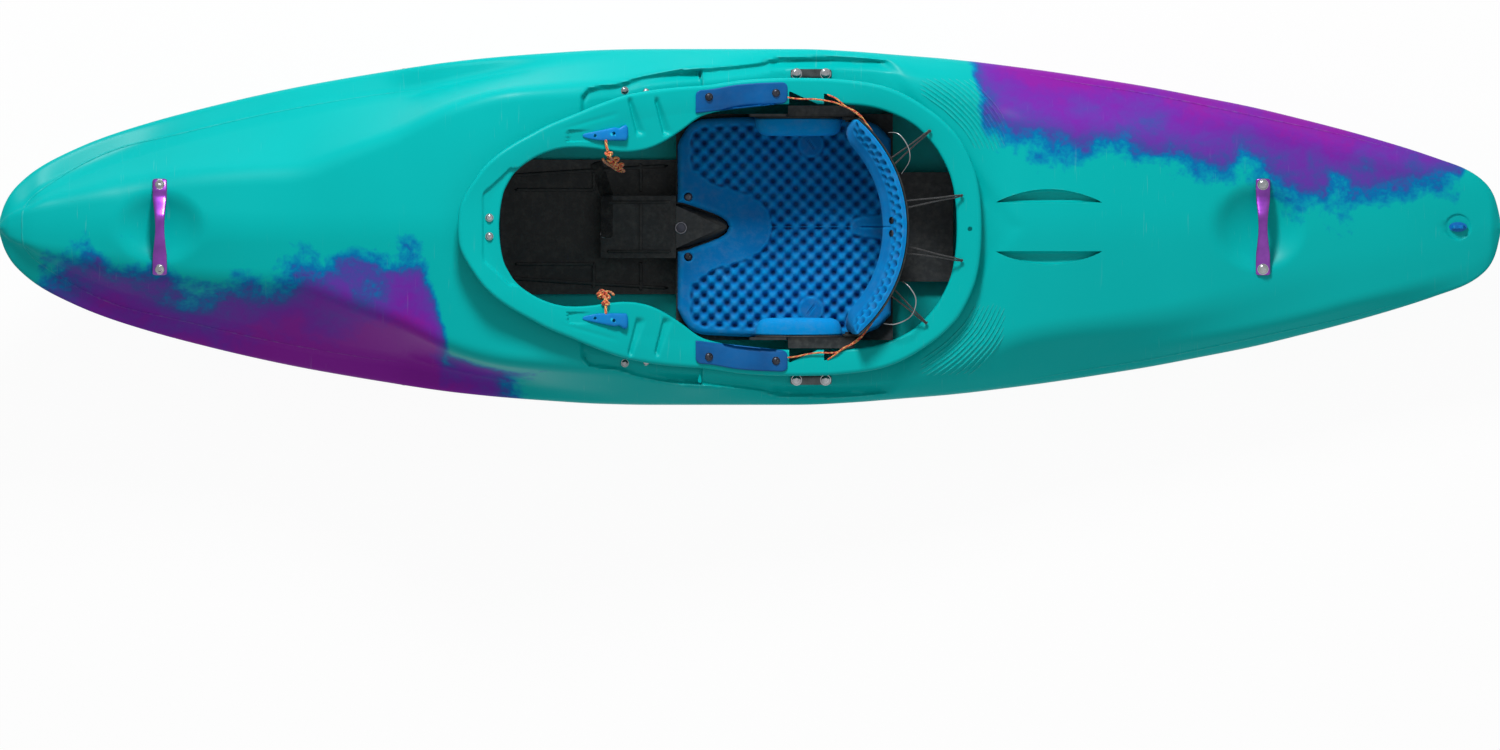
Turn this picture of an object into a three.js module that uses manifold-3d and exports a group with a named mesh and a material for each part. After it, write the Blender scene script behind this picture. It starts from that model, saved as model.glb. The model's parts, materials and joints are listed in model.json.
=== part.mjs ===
// A whitewater kayak: a short planing hull with a high bow, a keyhole cockpit and a slim stern,
// and the outfitting that is bolted into it.
// Millimetres, with the bow towards -X, the paddler's right hand towards +Y and +Z up.
// The origin is under the middle of the hull, on the surface that it rests on.
// A share is a part of the size that it follows; a place is a share of LENGTH from the bow.

import * as THREE from "three";
import { mergeVertices } from "three/addons/utils/BufferGeometryUtils.js";
import Module from "manifold-3d";

const wasm = await Module();
wasm.setup();

// Driving sizes of the hull
const LENGTH = 2745;
const BEAM = 652;
const HEIGHT = 429;
const WALL = 6;
const CHINE_RISE = 26;
const SHOULDER_ROUND = 25;
const CREASE_ROUND = 13;
const RAIL_ROUND = 16;
const BILGE_ROUND = 26;

// Driving sizes of the cockpit rim
const COCKPIT_LENGTH = 960;
const COCKPIT_WIDTH = 546;
const COCKPIT_FROM_BOW = 837;
const LIP = 16;
const LIP_OVERHANG = 17;
const NECK_WALL = 9;
const FLANGE = 9;
const FLANGE_DROP = 5;
const EDGE_ROUND = 4;

// Clearances
const GAP = 0.3;
const SEAT_GAP = 0.5;
const RUN = 0.8;
const OVERRUN = 40;

// The hull's long lines, each a list of [place, share]
const halfWidthShares = [
  [0, 0.05], [0.0027, 0.121], [0.0067, 0.185], [0.0133, 0.25], [0.0267, 0.337], [0.04, 0.399],
  [0.0667, 0.497], [0.1067, 0.604], [0.1333, 0.663], [0.1667, 0.73], [0.2, 0.789],
  [0.2333, 0.839], [0.2667, 0.884], [0.3, 0.924], [0.3333, 0.955], [0.3667, 0.977],
  [0.4, 0.994], [0.4333, 1], [0.5333, 1], [0.5667, 0.988], [0.6, 0.966], [0.6333, 0.943],
  [0.6667, 0.91], [0.7, 0.873], [0.7333, 0.831], [0.7667, 0.786], [0.8, 0.733],
  [0.8333, 0.677], [0.8667, 0.609], [0.9, 0.536], [0.9333, 0.455], [0.96, 0.382],
  [0.9733, 0.342], [0.9833, 0.298], [0.99, 0.253], [0.9933, 0.219], [0.996, 0.177],
  [0.998, 0.126], [1, 0.05],
];
const keelShares = [
  [0, 0.795], [0.0067, 0.766], [0.02, 0.702], [0.04, 0.62], [0.0667, 0.522], [0.1, 0.407],
  [0.1333, 0.318], [0.1667, 0.241], [0.2, 0.186], [0.2333, 0.143], [0.2667, 0.104],
  [0.3, 0.076], [0.3333, 0.055], [0.3667, 0.038], [0.4, 0.024], [0.44, 0.009], [0.48, 0],
  [0.64, 0], [0.6667, 0.009], [0.7, 0.027], [0.7333, 0.045], [0.7667, 0.07], [0.8, 0.104],
  [0.8333, 0.151], [0.8667, 0.198], [0.9, 0.25], [0.9333, 0.3], [0.96, 0.347],
  [0.9767, 0.373], [0.9933, 0.403], [1, 0.42],
];
const deckShares = [
  [0, 0.833], [0.0027, 0.846], [0.0067, 0.855], [0.02, 0.864], [0.04, 0.853], [0.0667, 0.843],
  [0.1, 0.835], [0.1333, 0.838], [0.1667, 0.843], [0.2, 0.847], [0.2333, 0.864],
  [0.2667, 0.885], [0.2933, 0.902], [0.31, 0.905], [0.3267, 0.9], [0.34, 0.886],
  [0.3547, 0.87], [0.37, 0.85], [0.3987, 0.808], [0.4153, 0.778], [0.438, 0.742],
  [0.4613, 0.705], [0.4767, 0.68], [0.4993, 0.643], [0.52, 0.603], [0.5573, 0.556],
  [0.5913, 0.546], [0.6, 0.56], [0.645, 0.565], [0.6573, 0.571], [0.6687, 0.6],
  [0.678, 0.613], [0.7, 0.604], [0.7333, 0.574], [0.7667, 0.54], [0.8, 0.514],
  [0.8333, 0.492], [0.8667, 0.476], [0.9, 0.466], [0.9333, 0.459], [0.96, 0.455],
  [0.9933, 0.455], [1, 0.434],
];
const railShares = [
  [0, 0.812], [0.0067, 0.79], [0.0133, 0.765], [0.0267, 0.728], [0.044, 0.678],
  [0.0813, 0.591], [0.1273, 0.515], [0.17, 0.483], [0.2207, 0.466], [0.257, 0.468],
  [0.277, 0.53], [0.338, 0.557], [0.4233, 0.547], [0.52, 0.527], [0.5733, 0.485],
  [0.6273, 0.438], [0.6807, 0.387], [0.734, 0.359], [0.8, 0.33], [0.8707, 0.328],
  [0.9007, 0.338], [0.9453, 0.38], [0.9933, 0.427], [1, 0.425],
];
const creaseShares = [
  [0, 0.82], [0.0067, 0.828], [0.0167, 0.816], [0.0273, 0.788], [0.051, 0.711],
  [0.0953, 0.622], [0.1193, 0.601], [0.17, 0.557], [0.22, 0.546], [0.2667, 0.541],
  [0.3, 0.562], [0.3333, 0.583], [0.3733, 0.611], [0.43, 0.611], [0.4667, 0.6],
  [0.4933, 0.592], [0.5227, 0.569], [0.5573, 0.541], [0.6, 0.522], [0.6333, 0.497],
  [0.6667, 0.473], [0.7, 0.455], [0.7333, 0.441], [0.7667, 0.434], [0.82, 0.434],
  [0.8667, 0.429], [0.9, 0.434], [0.9333, 0.438], [0.9933, 0.443], [1, 0.429],
];
const shoulderShares = [
  [0, 0.828], [0.0067, 0.848], [0.02, 0.857], [0.04, 0.84], [0.0667, 0.824], [0.1, 0.793],
  [0.1333, 0.8], [0.17, 0.807], [0.1953, 0.818], [0.2667, 0.836], [0.2933, 0.856],
  [0.3087, 0.863], [0.3393, 0.865], [0.3547, 0.851], [0.37, 0.832], [0.3987, 0.793],
  [0.4153, 0.765], [0.438, 0.73], [0.4613, 0.695], [0.4767, 0.671], [0.4993, 0.634],
  [0.52, 0.594], [0.5573, 0.548], [0.5913, 0.539], [0.6, 0.556], [0.645, 0.559],
  [0.6667, 0.566], [0.68, 0.58], [0.7, 0.576], [0.7333, 0.55], [0.7667, 0.52],
  [0.8, 0.497], [0.826, 0.48], [0.871, 0.466], [0.9333, 0.455], [0.9933, 0.45], [1, 0.43],
];

// How far out those lines lie, as shares of the half width at the same place
const creaseOutShares = [
  [0, 0.45], [0.0167, 0.45], [0.0273, 0.58], [0.051, 0.658], [0.102, 0.762], [0.17, 0.828],
  [0.22, 0.849], [0.2667, 0.844], [0.3, 0.87], [0.3333, 0.9], [0.3733, 0.93],
  [0.4333, 0.95], [0.5227, 0.957], [0.5733, 0.955], [0.6267, 0.93], [0.6667, 0.905],
  [0.72, 0.875], [0.7667, 0.864], [0.826, 0.849], [0.8707, 0.832], [0.9, 0.8],
  [0.9667, 0.76], [1, 0.7],
];
const shoulderOutShares = [
  [0, 0.2], [0.0167, 0.25], [0.05, 0.38], [0.1, 0.45], [0.17, 0.42], [0.1953, 0.4],
  [0.23, 0.505], [0.2667, 0.616], [0.2933, 0.724], [0.3253, 0.793], [0.34, 0.805],
  [0.4133, 0.8], [0.44, 0.84], [0.4667, 0.885], [0.5227, 0.875], [0.5733, 0.87],
  [0.62, 0.84], [0.65, 0.78], [0.6667, 0.72], [0.7, 0.68], [0.7667, 0.657], [0.826, 0.563],
  [0.871, 0.43], [0.8933, 0.378], [0.9333, 0.36], [1, 0.35],
];
const chineOutShares = [[0, 0.6], [0.1, 0.72], [0.5, 0.785], [0.9, 0.74], [1, 0.6]];
const FLAT_OUT_share = 0.31;
const CHINE_RISE_share = 0.35;
const CORNER_share = 0.4;

// Where the hull's cross-sections stand
const stationShares = [
  0, 0.0027, 0.0067, 0.0133, 0.02, 0.03, 0.045, 0.0667, 0.09, 0.12, 0.15, 0.18, 0.21, 0.24,
  0.257, 0.267, 0.277, 0.293, 0.309, 0.325, 0.34, 0.355, 0.37, 0.39, 0.41, 0.44, 0.48, 0.5,
  0.52, 0.54, 0.557, 0.5913, 0.6, 0.64, 0.6573, 0.6687, 0.678, 0.7, 0.7333, 0.7667, 0.8,
  0.8333, 0.871, 0.9, 0.9333, 0.96, 0.9733, 0.9833, 0.99, 0.9933, 0.996, 0.998, 1,
];
const hollowShares = [
  0.03, 0.0667, 0.12, 0.18, 0.24, 0.257, 0.277, 0.309, 0.34, 0.37, 0.41, 0.44, 0.48, 0.52,
  0.557, 0.6, 0.64, 0.6573, 0.678, 0.7333, 0.8, 0.871, 0.9333, 0.98,
];

// A smooth line through [at, value] points that never swings past them
function curve(points) {
  const last = points.length - 1;
  const rise = points.slice(1).map((p, i) => (p[1] - points[i][1]) / (p[0] - points[i][0]));
  const slope = points.map((_, i) => {
    if (i === 0) return rise[0];
    if (i === last) return rise[last - 1];
    const [a, b] = [rise[i - 1], rise[i]];
    return a * b <= 0 ? 0 : (2 * a * b) / (a + b);
  });
  return (at) => {
    let i = 0;
    while (i < last - 1 && at > points[i + 1][0]) i += 1;
    const span = points[i + 1][0] - points[i][0];
    const t = Math.min(1, Math.max(0, (at - points[i][0]) / span));
    const swing = t * t * (3 - 2 * t);
    const bend = slope[i] * t * (1 - t) ** 2 - slope[i + 1] * t * t * (1 - t);
    return points[i][1] * (1 - swing) + points[i + 1][1] * swing + span * bend;
  };
}

const line = {
  half: curve(halfWidthShares),
  keel: curve(keelShares),
  deck: curve(deckShares),
  rail: curve(railShares),
  crease: curve(creaseShares),
  shoulder: curve(shoulderShares),
  creaseOut: curve(creaseOutShares),
  shoulderOut: curve(shoulderOutShares),
  chineOut: curve(chineOutShares),
};

const xAt = (place) => (place - 1 / 2) * LENGTH;
const placeAt = (x) => x / LENGTH + 1 / 2;

// One side of the outer section at a place, from the deck's centre round to the keel, as [y, z]
function halfSection(place) {
  const half = (line.half(place) * BEAM) / 2;
  const keel = line.keel(place) * HEIGHT;
  const rail = line.rail(place) * HEIGHT;
  const chine = keel + Math.min(CHINE_RISE, (rail - keel) * CHINE_RISE_share);
  const corners = [
    [0, line.deck(place) * HEIGHT],
    [line.shoulderOut(place) * half, line.shoulder(place) * HEIGHT],
    [line.creaseOut(place) * half, line.crease(place) * HEIGHT],
    [half, rail],
    [line.chineOut(place) * half, chine],
    [FLAT_OUT_share * half, keel],
    [0, keel],
  ];
  const rounds = [0, SHOULDER_ROUND, CREASE_ROUND, RAIL_ROUND, BILGE_ROUND, 0, 0];
  const rounded = (i) => roundedCorner(corners[i - 1], corners[i], corners[i + 1], rounds[i]);
  const widest = rounds.indexOf(RAIL_ROUND);
  corners[widest] = [2 * half - rounded(widest)[1][0], rail];
  return corners.flatMap((corner, i) => (rounds[i] ? rounded(i) : [corner]));
}

// Three points that round off a corner, cut back by a length along both sides
function roundedCorner(before, corner, after, cut) {
  const toward = (end) => {
    const long = Math.hypot(end[0] - corner[0], end[1] - corner[1]);
    const t = Math.min(cut, long * CORNER_share) / long;
    return [corner[0] + (end[0] - corner[0]) * t, corner[1] + (end[1] - corner[1]) * t];
  };
  const [a, b] = [toward(before), toward(after)];
  const middle = [0, 1].map((k) => (a[k] + b[k]) / 4 + corner[k] / 2);
  return [a, middle, b];
}

// The same half section moved inwards by a wall, or outwards where the distance is below zero
function insetPath(path, distance) {
  const mirror = ([y, z]) => [-y, z];
  const closed = [mirror(path[1]), ...path, mirror(path[path.length - 2])];
  const normal = (a, b) => {
    const long = Math.hypot(b[0] - a[0], b[1] - a[1]);
    return [(b[1] - a[1]) / long, (a[0] - b[0]) / long];
  };
  return path.map((point, i) => {
    const before = normal(closed[i], closed[i + 1]);
    const after = normal(closed[i + 1], closed[i + 2]);
    const scale = distance / (1 + before[0] * after[0] + before[1] * after[1]);
    return [point[0] + (before[0] + after[0]) * scale, point[1] + (before[1] + after[1]) * scale];
  });
}

function hullRing(place, inset) {
  const half = insetPath(halfSection(place), inset);
  const port = half.slice(1, -1).reverse().map(([y, z]) => [-y, z]);
  return [...half, ...port].map(([y, z]) => new THREE.Vector3(xAt(place), y, z));
}

// Height of the outer deck at a point, and half width of the hull at a height, less an inset
function deckHeight(x, y, inset = 0) {
  const path = insetPath(halfSection(placeAt(x)), inset);
  const out = Math.abs(y);
  const i = Math.max(1, path.findIndex((p) => p[0] >= out));
  const [a, b] = [path[i - 1], path[i]];
  return a[1] + ((b[1] - a[1]) * (out - a[0])) / (b[0] - a[0]);
}

function sideWidth(x, z, inset = 0) {
  const path = insetPath(halfSection(placeAt(x)), inset);
  const i = path.findLastIndex((p) => p[1] >= z);
  const [a, b] = [path[i], path[i + 1]];
  return a[0] + ((b[0] - a[0]) * (z - a[1])) / (b[1] - a[1]);
}

// Closed surfaces, each turned so that its faces point out
function outward(positions, triangles) {
  const [a, b, c] = [0, 1, 2].map(() => new THREE.Vector3());
  let volume = 0;
  for (const [i, j, k] of triangles) {
    volume += a.copy(positions[i]).dot(b.copy(positions[j]).cross(c.copy(positions[k])));
  }
  const geometry = new THREE.BufferGeometry().setFromPoints(positions);
  geometry.setIndex(triangles.flatMap(([i, j, k]) => (volume < 0 ? [i, k, j] : [i, j, k])));
  return geometry;
}

function loft(rings, loop = false) {
  const size = rings[0].length;
  const positions = rings.flat();
  const triangles = [];
  const bands = loop ? rings.length : rings.length - 1;
  for (let r = 0; r < bands; r += 1) {
    for (let k = 0; k < size; k += 1) {
      const [a, b] = [r * size + k, r * size + ((k + 1) % size)];
      const next = ((r + 1) % rings.length) * size;
      const [c, d] = [next + k, next + ((k + 1) % size)];
      triangles.push([a, b, d], [a, d, c]);
    }
  }
  if (!loop) {
    [rings[0], rings[rings.length - 1]].forEach((ring, end) => {
      const centre = ring.reduce((sum, p) => sum.add(p), new THREE.Vector3());
      const middle = positions.push(centre.divideScalar(size)) - 1;
      const first = end ? (rings.length - 1) * size : 0;
      for (let k = 0; k < size; k += 1) {
        const [a, b] = [first + k, first + ((k + 1) % size)];
        triangles.push(end ? [middle, a, b] : [middle, b, a]);
      }
    });
  }
  return outward(positions, triangles);
}

// An outline drawn along an axis: in x and y for "z", in x and z for "y", in y and z for "x"
function slab(outline, axis, low, high) {
  const shape = new THREE.Shape(outline.map(([u, v]) => new THREE.Vector2(u, v)));
  const geometry = new THREE.ExtrudeGeometry(shape, { depth: high - low, bevelEnabled: false });
  const [x, y, z] = [0, 1, 2].map((k) => new THREE.Vector3().setComponent(k, 1));
  const frames = { x: [y, z, x], y: [x, z, y.clone().negate()], z: [x, y, z] };
  geometry.applyMatrix4(new THREE.Matrix4().makeBasis(...frames[axis]));
  const start = axis === "y" ? high : low;
  return geometry.translate(...["x", "y", "z"].map((name) => (name === axis ? start : 0)));
}

function block(lowX, highX, lowY, highY, lowZ, highZ) {
  const box = new THREE.BoxGeometry(highX - lowX, highY - lowY, highZ - lowZ);
  return box.translate((lowX + highX) / 2, (lowY + highY) / 2, (lowZ + highZ) / 2);
}

// A turned shape from [radius, height] points, with its axis along +Z
function turned(profile, sides) {
  const points = profile.map(([radius, height]) => new THREE.Vector2(radius, height));
  return new THREE.LatheGeometry(points, sides).rotateX(Math.PI / 2);
}

function rod(radius, low, high, sides) {
  return turned([[0, low], [radius, low], [radius, high], [0, high]], sides);
}

// Solids that can be cut and joined, and back
function solid(geometry) {
  if (geometry instanceof wasm.Manifold) return geometry;
  const bare = new THREE.BufferGeometry().setAttribute("position", geometry.attributes.position);
  bare.setIndex(geometry.index);
  const merged = mergeVertices(bare, GAP / 1000);
  const corners = [];
  for (let i = 0; i < merged.index.count; i += 3) {
    const [a, b, c] = [0, 1, 2].map((k) => merged.index.getX(i + k));
    if (a !== b && b !== c && c !== a) corners.push(a, b, c);
  }
  const vertProperties = new Float32Array(merged.attributes.position.array);
  const triVerts = new Uint32Array(corners);
  return new wasm.Manifold(new wasm.Mesh({ numProp: 3, vertProperties, triVerts }));
}

const join = (...shapes) => shapes.map(solid).reduce((a, b) => a.add(b));
const cut = (body, ...tools) => tools.map(solid).reduce((a, b) => a.subtract(b), solid(body));
const common = (body, ...tools) => tools.map(solid).reduce((a, b) => a.intersect(b), solid(body));

function geometryOf(body) {
  const mesh = body.getMesh();
  const geometry = new THREE.BufferGeometry();
  geometry.setAttribute("position", new THREE.BufferAttribute(mesh.vertProperties, 3));
  geometry.setIndex(new THREE.BufferAttribute(mesh.triVerts, 1));
  geometry.computeVertexNormals();
  return geometry;
}

// Finishes
const finish = (color, roughness, metalness = 0) => {
  return new THREE.MeshStandardMaterial({ color, roughness, metalness });
};
const shellPlastic = finish(0x00b4b4, 0.32);
const blackPlastic = finish(0x202224, 0.5);
const purpleMetal = finish(0x6a2686, 0.25, 0.8);
const steel = finish(0xc8cacc, 0.25, 1);
const blackSteel = finish(0x1c1c1e, 0.4, 0.6);
const blueFoam = finish(0x0a64c0, 0.85);
const greyFoam = finish(0x55585c, 0.9);
const bluePlastic = finish(0x0f4fa8, 0.45);
const flapPlastic = finish(0x0a4a90, 0.55);
const orangeCord = finish(0xd88a30, 0.8);
const blackCord = finish(0x18191b, 0.7);

const kayak = new THREE.Group();
function add(name, shape, material) {
  const mesh = new THREE.Mesh(geometryOf(solid(shape)), material);
  mesh.name = name;
  kayak.add(mesh);
  return mesh;
}

const SIDES = [["starboard", 1], ["port", -1]];

// A shape drawn for the starboard side, taken over to either side
function flipped(shape, side) {
  const { index, attributes } = geometryOf(solid(shape));
  const { position } = attributes;
  const points = [...Array(position.count).keys()].map((i) => {
    return new THREE.Vector3(position.getX(i), position.getY(i) * side, position.getZ(i));
  });
  const triangles = [...Array(index.count / 3).keys()].map((i) => {
    return [0, 1, 2].map((k) => index.getX(i * 3 + k));
  });
  return solid(outward(points, triangles));
}

// Where a +Z shape goes so that it stands on a point along a direction
function standing(point, direction) {
  const turn = new THREE.Quaternion();
  turn.setFromUnitVectors(new THREE.Vector3(0, 0, 1), direction.clone().normalize());
  return new THREE.Matrix4().compose(point, turn, new THREE.Vector3(1, 1, 1));
}

// Bolts: each seats its head on a point and leaves a hole and a flat for it in what it clamps
const BOLT_SIDES = 8;
const HEAD_CHAMFER_share = 0.7;
const boltHoles = [];
function bolt(name, point, direction, kind, material) {
  const place = standing(point, direction);
  const { head, headHeight, shank, grip } = kind;
  const shape = turned([
    [0, -grip], [shank, -grip], [shank, SEAT_GAP], [head, SEAT_GAP],
    [head, headHeight * HEAD_CHAMFER_share], [head * HEAD_CHAMFER_share, headHeight],
    [0, headHeight],
  ], BOLT_SIDES);
  const mesh = add(name, shape, material);
  mesh.applyMatrix4(place);
  const room = join(
    rod(shank + GAP, -grip - GAP, GAP, BOLT_SIDES),
    rod(head + SEAT_GAP, 0, headHeight + RUN, BOLT_SIDES),
  );
  const hole = geometryOf(room).applyMatrix4(place);
  boltHoles.push(solid(hole));
  return hole;
}

// The cockpit rim, one half from the front to the back: [outer along, outer out, inner along,
// inner out], as shares of the cockpit's length and of half its width
const rimShares = [
  [0, 0, 0.079, 0], [0.003, 0.144, 0.082, 0.134], [0.019, 0.248, 0.088, 0.241],
  [0.05, 0.405, 0.108, 0.362], [0.081, 0.5, 0.127, 0.42], [0.112, 0.57, 0.154, 0.479],
  [0.143, 0.627, 0.184, 0.518], [0.173, 0.686, 0.208, 0.533], [0.206, 0.731, 0.231, 0.534],
  [0.242, 0.784, 0.257, 0.527], [0.273, 0.828, 0.282, 0.513], [0.305, 0.869, 0.311, 0.5],
  [0.337, 0.898, 0.339, 0.503], [0.366, 0.916, 0.368, 0.526], [0.402, 0.932, 0.396, 0.573],
  [0.436, 0.942, 0.429, 0.65], [0.476, 0.95, 0.464, 0.749], [0.539, 0.985, 0.536, 0.804],
  [0.587, 0.996, 0.587, 0.818], [0.637, 1, 0.635, 0.824], [0.713, 0.996, 0.707, 0.824],
  [0.772, 0.975, 0.76, 0.818], [0.812, 0.947, 0.795, 0.8], [0.844, 0.905, 0.821, 0.771],
  [0.877, 0.842, 0.848, 0.731], [0.901, 0.784, 0.871, 0.684], [0.921, 0.735, 0.886, 0.637],
  [0.956, 0.611, 0.913, 0.529], [0.978, 0.465, 0.93, 0.422], [0.99, 0.349, 0.94, 0.342],
  [0.996, 0.235, 0.947, 0.235], [0.999, 0.121, 0.951, 0.114], [1, 0, 0.952, 0],
];
const rimHeightShares = [
  [0, 1], [0.027, 1], [0.061, 0.995], [0.099, 0.974], [0.137, 0.949], [0.164, 0.932],
  [0.208, 0.904], [0.252, 0.872], [0.295, 0.837], [0.356, 0.783], [0.404, 0.753],
  [0.436, 0.732], [0.534, 0.688], [0.616, 0.668], [0.692, 0.639], [0.768, 0.627],
  [0.871, 0.629], [0.938, 0.634], [1, 0.629],
];
const COCKPIT_X = COCKPIT_FROM_BOW - LENGTH / 2;
const cockpitX = (share) => COCKPIT_X + share * COCKPIT_LENGTH;
const cockpitShare = (x) => (x - COCKPIT_X) / COCKPIT_LENGTH;
const rimHeightCurve = curve(rimHeightShares);
const rimHeight = (x) => rimHeightCurve(cockpitShare(x)) * HEIGHT;
const rimOuterCurve = curve(rimShares.map(([along, out]) => [along, out]));
const rimInnerCurve = curve(rimShares.map((row) => [row[2], row[3]]));
const rimOuter = (x) => (rimOuterCurve(cockpitShare(x)) * COCKPIT_WIDTH) / 2;
const rimInner = (x) => (rimInnerCurve(cockpitShare(x)) * COCKPIT_WIDTH) / 2;

// A cut across the rim at one row: from(distance in from the outer edge, drop below the top)
function rimCut([outerAlong, outerOut, innerAlong, innerOut], side) {
  const width = (side * COCKPIT_WIDTH) / 2;
  const outer = new THREE.Vector3(cockpitX(outerAlong), outerOut * width, 0);
  const inner = new THREE.Vector3(cockpitX(innerAlong), innerOut * width, 0);
  outer.z = rimHeight(outer.x);
  inner.z = rimHeight(inner.x) - FLANGE_DROP;
  const across = Math.hypot(outer.x - inner.x, outer.y - inner.y);
  const at = (distance, drop) => {
    const point = outer.clone().lerp(inner, distance / across);
    point.z -= drop;
    return point;
  };
  return { at, across };
}

// Every row of the rim, round the whole loop
const rimRows = [
  ...rimShares.map((row) => rimCut(row, 1)),
  ...rimShares.slice(1, -1).reverse().map((row) => rimCut(row, -1)),
];

function rimRing({ at, across }) {
  const foot = (distance) => {
    const point = at(distance, LIP + EDGE_ROUND / 2);
    point.z = Math.min(point.z, deckHeight(point.x, point.y) - WALL / 2);
    return point;
  };
  const neck = LIP_OVERHANG + NECK_WALL;
  return [
    at(EDGE_ROUND, 0), at(0, EDGE_ROUND), at(0, LIP - EDGE_ROUND), at(EDGE_ROUND, LIP),
    at(LIP_OVERHANG, LIP), foot(LIP_OVERHANG), foot(neck), at(neck, LIP),
    at(across - EDGE_ROUND, FLANGE), at(across, FLANGE - EDGE_ROUND / 2),
    at(across, EDGE_ROUND / 2), at(across - EDGE_ROUND, 0),
  ];
}

// Height of the flange's underside, a distance in from the rim's outer edge
function flangeUnder({ at, across }, distance) {
  const neck = LIP_OVERHANG + NECK_WALL;
  const t = (distance - neck) / (across - EDGE_ROUND - neck);
  return at(distance, LIP + (FLANGE - LIP) * t).z;
}

const HOLE_EASE = 1;
const coaming = solid(loft(rimRows.map(rimRing), true));
const cockpitHole = slab(
  rimRows.map(({ at }) => at(LIP_OVERHANG + NECK_WALL + HOLE_EASE, 0)).map((p) => [p.x, p.y]),
  "z", HEIGHT / 2, HEIGHT + OVERRUN,
);

// The loft of the hull, moved in or out by a distance
const hullSolid = (places, inset) => solid(loft(places.map((place) => hullRing(place, inset))));
const outerForm = hullSolid(stationShares, 0);
const seatForm = hullSolid(stationShares, -GAP);
const hollow = hullSolid(hollowShares, WALL);
const inside = hullSolid(hollowShares, WALL + SEAT_GAP);

// Finger wells under the grab handles: a dish, and the same dish a wall larger
const WELL_RADIUS = 68;
const WELL_DEPTH = 20;
const WELL_DROP = 8;
const WELL_SIDES = 28;
const WELL_STEPS = 5;
function well(place, grow) {
  const sphere = (WELL_RADIUS ** 2 + WELL_DEPTH ** 2) / (2 * WELL_DEPTH) + grow;
  const bottom = line.deck(place) * HEIGHT - WELL_DROP - WELL_DEPTH - grow;
  const reach = Math.asin((WELL_RADIUS * 5) / (sphere * 4));
  const steps = [...Array(WELL_STEPS + 1).keys()].map((i) => (i * reach) / WELL_STEPS);
  const bowl = steps.map((turn) => [sphere * Math.sin(turn), sphere * (1 - Math.cos(turn))]);
  const rim = bowl[bowl.length - 1][0];
  const dish = turned([...bowl, [rim, OVERRUN * 2], [0, OVERRUN * 2]], WELL_SIDES);
  return dish.translate(xAt(place), 0, bottom);
}
const BOW_HANDLE_share = 0.1065;
const STERN_HANDLE_share = 0.842;
const wells = (grow) => [BOW_HANDLE_share, STERN_HANDLE_share].map((p) => well(p, grow));

// Long pockets in the deck outside the thigh braces: [along, out], as shares of the cockpit's
// length and of half the beam
const pocketShares = [
  [0.24, 0.735], [0.252, 0.775], [0.309, 0.8], [0.353, 0.842], [0.416, 0.872], [0.457, 0.88],
  [0.467, 0.848],
];
const POCKET_DEPTH = 12;
const pocketFloor = (x) => deckHeight(x, rimOuter(x)) - POCKET_DEPTH;
function pocket(side, grow) {
  const rings = pocketShares.map(([along, out], i) => {
    const x = cockpitX(along);
    const end = (i === 0 ? -grow : 0) + (i === pocketShares.length - 1 ? grow : 0);
    const [near, far] = [rimOuter(x) - LIP_OVERHANG - grow, (out * BEAM) / 2 + grow];
    const [floor, top] = [pocketFloor(x) - grow, HEIGHT];
    return [[near, floor], [far, floor], [far, top], [near, top]].map(([y, z]) => {
      return new THREE.Vector3(x + end, y * side, z);
    });
  });
  return loft(rings);
}
const pockets = (grow) => SIDES.map(([, side]) => pocket(side, grow));

// Two shallow lens-shaped grips in the rear deck
const GRIP_LENGTH = 194;
const GRIP_PLACE_share = 0.6993;
const GRIP_INNER = 45;
const GRIP_OUTER = 70;
const GRIP_DEPTH = 4;
const GRIP_STEPS = 8;
function grip(side) {
  const middle = xAt(GRIP_PLACE_share);
  const rings = [...Array(GRIP_STEPS + 1).keys()].map((i) => {
    const turn = (Math.PI * (i + 1 / 2)) / (GRIP_STEPS + 1);
    const x = middle - (Math.cos(turn) * GRIP_LENGTH) / 2;
    const out = GRIP_INNER + (GRIP_OUTER - GRIP_INNER) * Math.sin(turn);
    const floor = (y) => deckHeight(x, y) - GRIP_DEPTH;
    return [
      [GRIP_INNER, floor(GRIP_INNER)], [out, floor(out)], [out, HEIGHT], [GRIP_INNER, HEIGHT],
    ].map(([y, z]) => new THREE.Vector3(x, y * side, z));
  });
  return loft(rings);
}

// A patch that lies on the rim between two places, from one half width in to another
function onRim(fromShare, toShare, outerAt, innerAt, thickAt, side) {
  const rows = rimShares.map((row) => row[0]).filter((at) => at > fromShare && at < toShare);
  return loft([fromShare, ...rows, toShare].map((along) => {
    const t = (along - fromShare) / (toShare - fromShare);
    const { at, across } = rimCut(rimRowAt(along), side);
    const [outer, inner] = [at(0, 0), at(across, 0)];
    const reach = (half) => {
      return (across * (Math.abs(outer.y) - half)) / Math.abs(outer.y - inner.y);
    };
    const [far, near] = [reach(outerAt(t)), reach(innerAt(t))];
    const top = -RUN - thickAt(t);
    return [at(far, -RUN), at(near, -RUN), at(near, top), at(far, top)];
  }));
}

// The row of the rim at a share along its outer edge
function rimRowAt(along) {
  const i = Math.max(1, rimShares.findIndex((row) => row[0] >= along));
  const [a, b] = [rimShares[i - 1], rimShares[i]];
  const t = (along - a[0]) / (b[0] - a[0]);
  return a.map((value, k) => value + (b[k] - value) * t);
}

// Height of the rim's top at a point, and the way that it faces there
function rimTop(x, y) {
  const { at, across } = rimCut(rimRowAt(cockpitShare(x)), Math.sign(y) || 1);
  const [outer, inner] = [at(0, 0), at(across, 0)];
  return at((across * (outer.y - y)) / (outer.y - inner.y || 1), 0).z;
}
function facing(height, x, y) {
  const slopeX = (height(x + WALL, y) - height(x - WALL, y)) / (2 * WALL);
  const slopeY = (height(x, y + WALL) - height(x, y - WALL)) / (2 * WALL);
  return new THREE.Vector3(-slopeX, -slopeY, 1).normalize();
}

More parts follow.
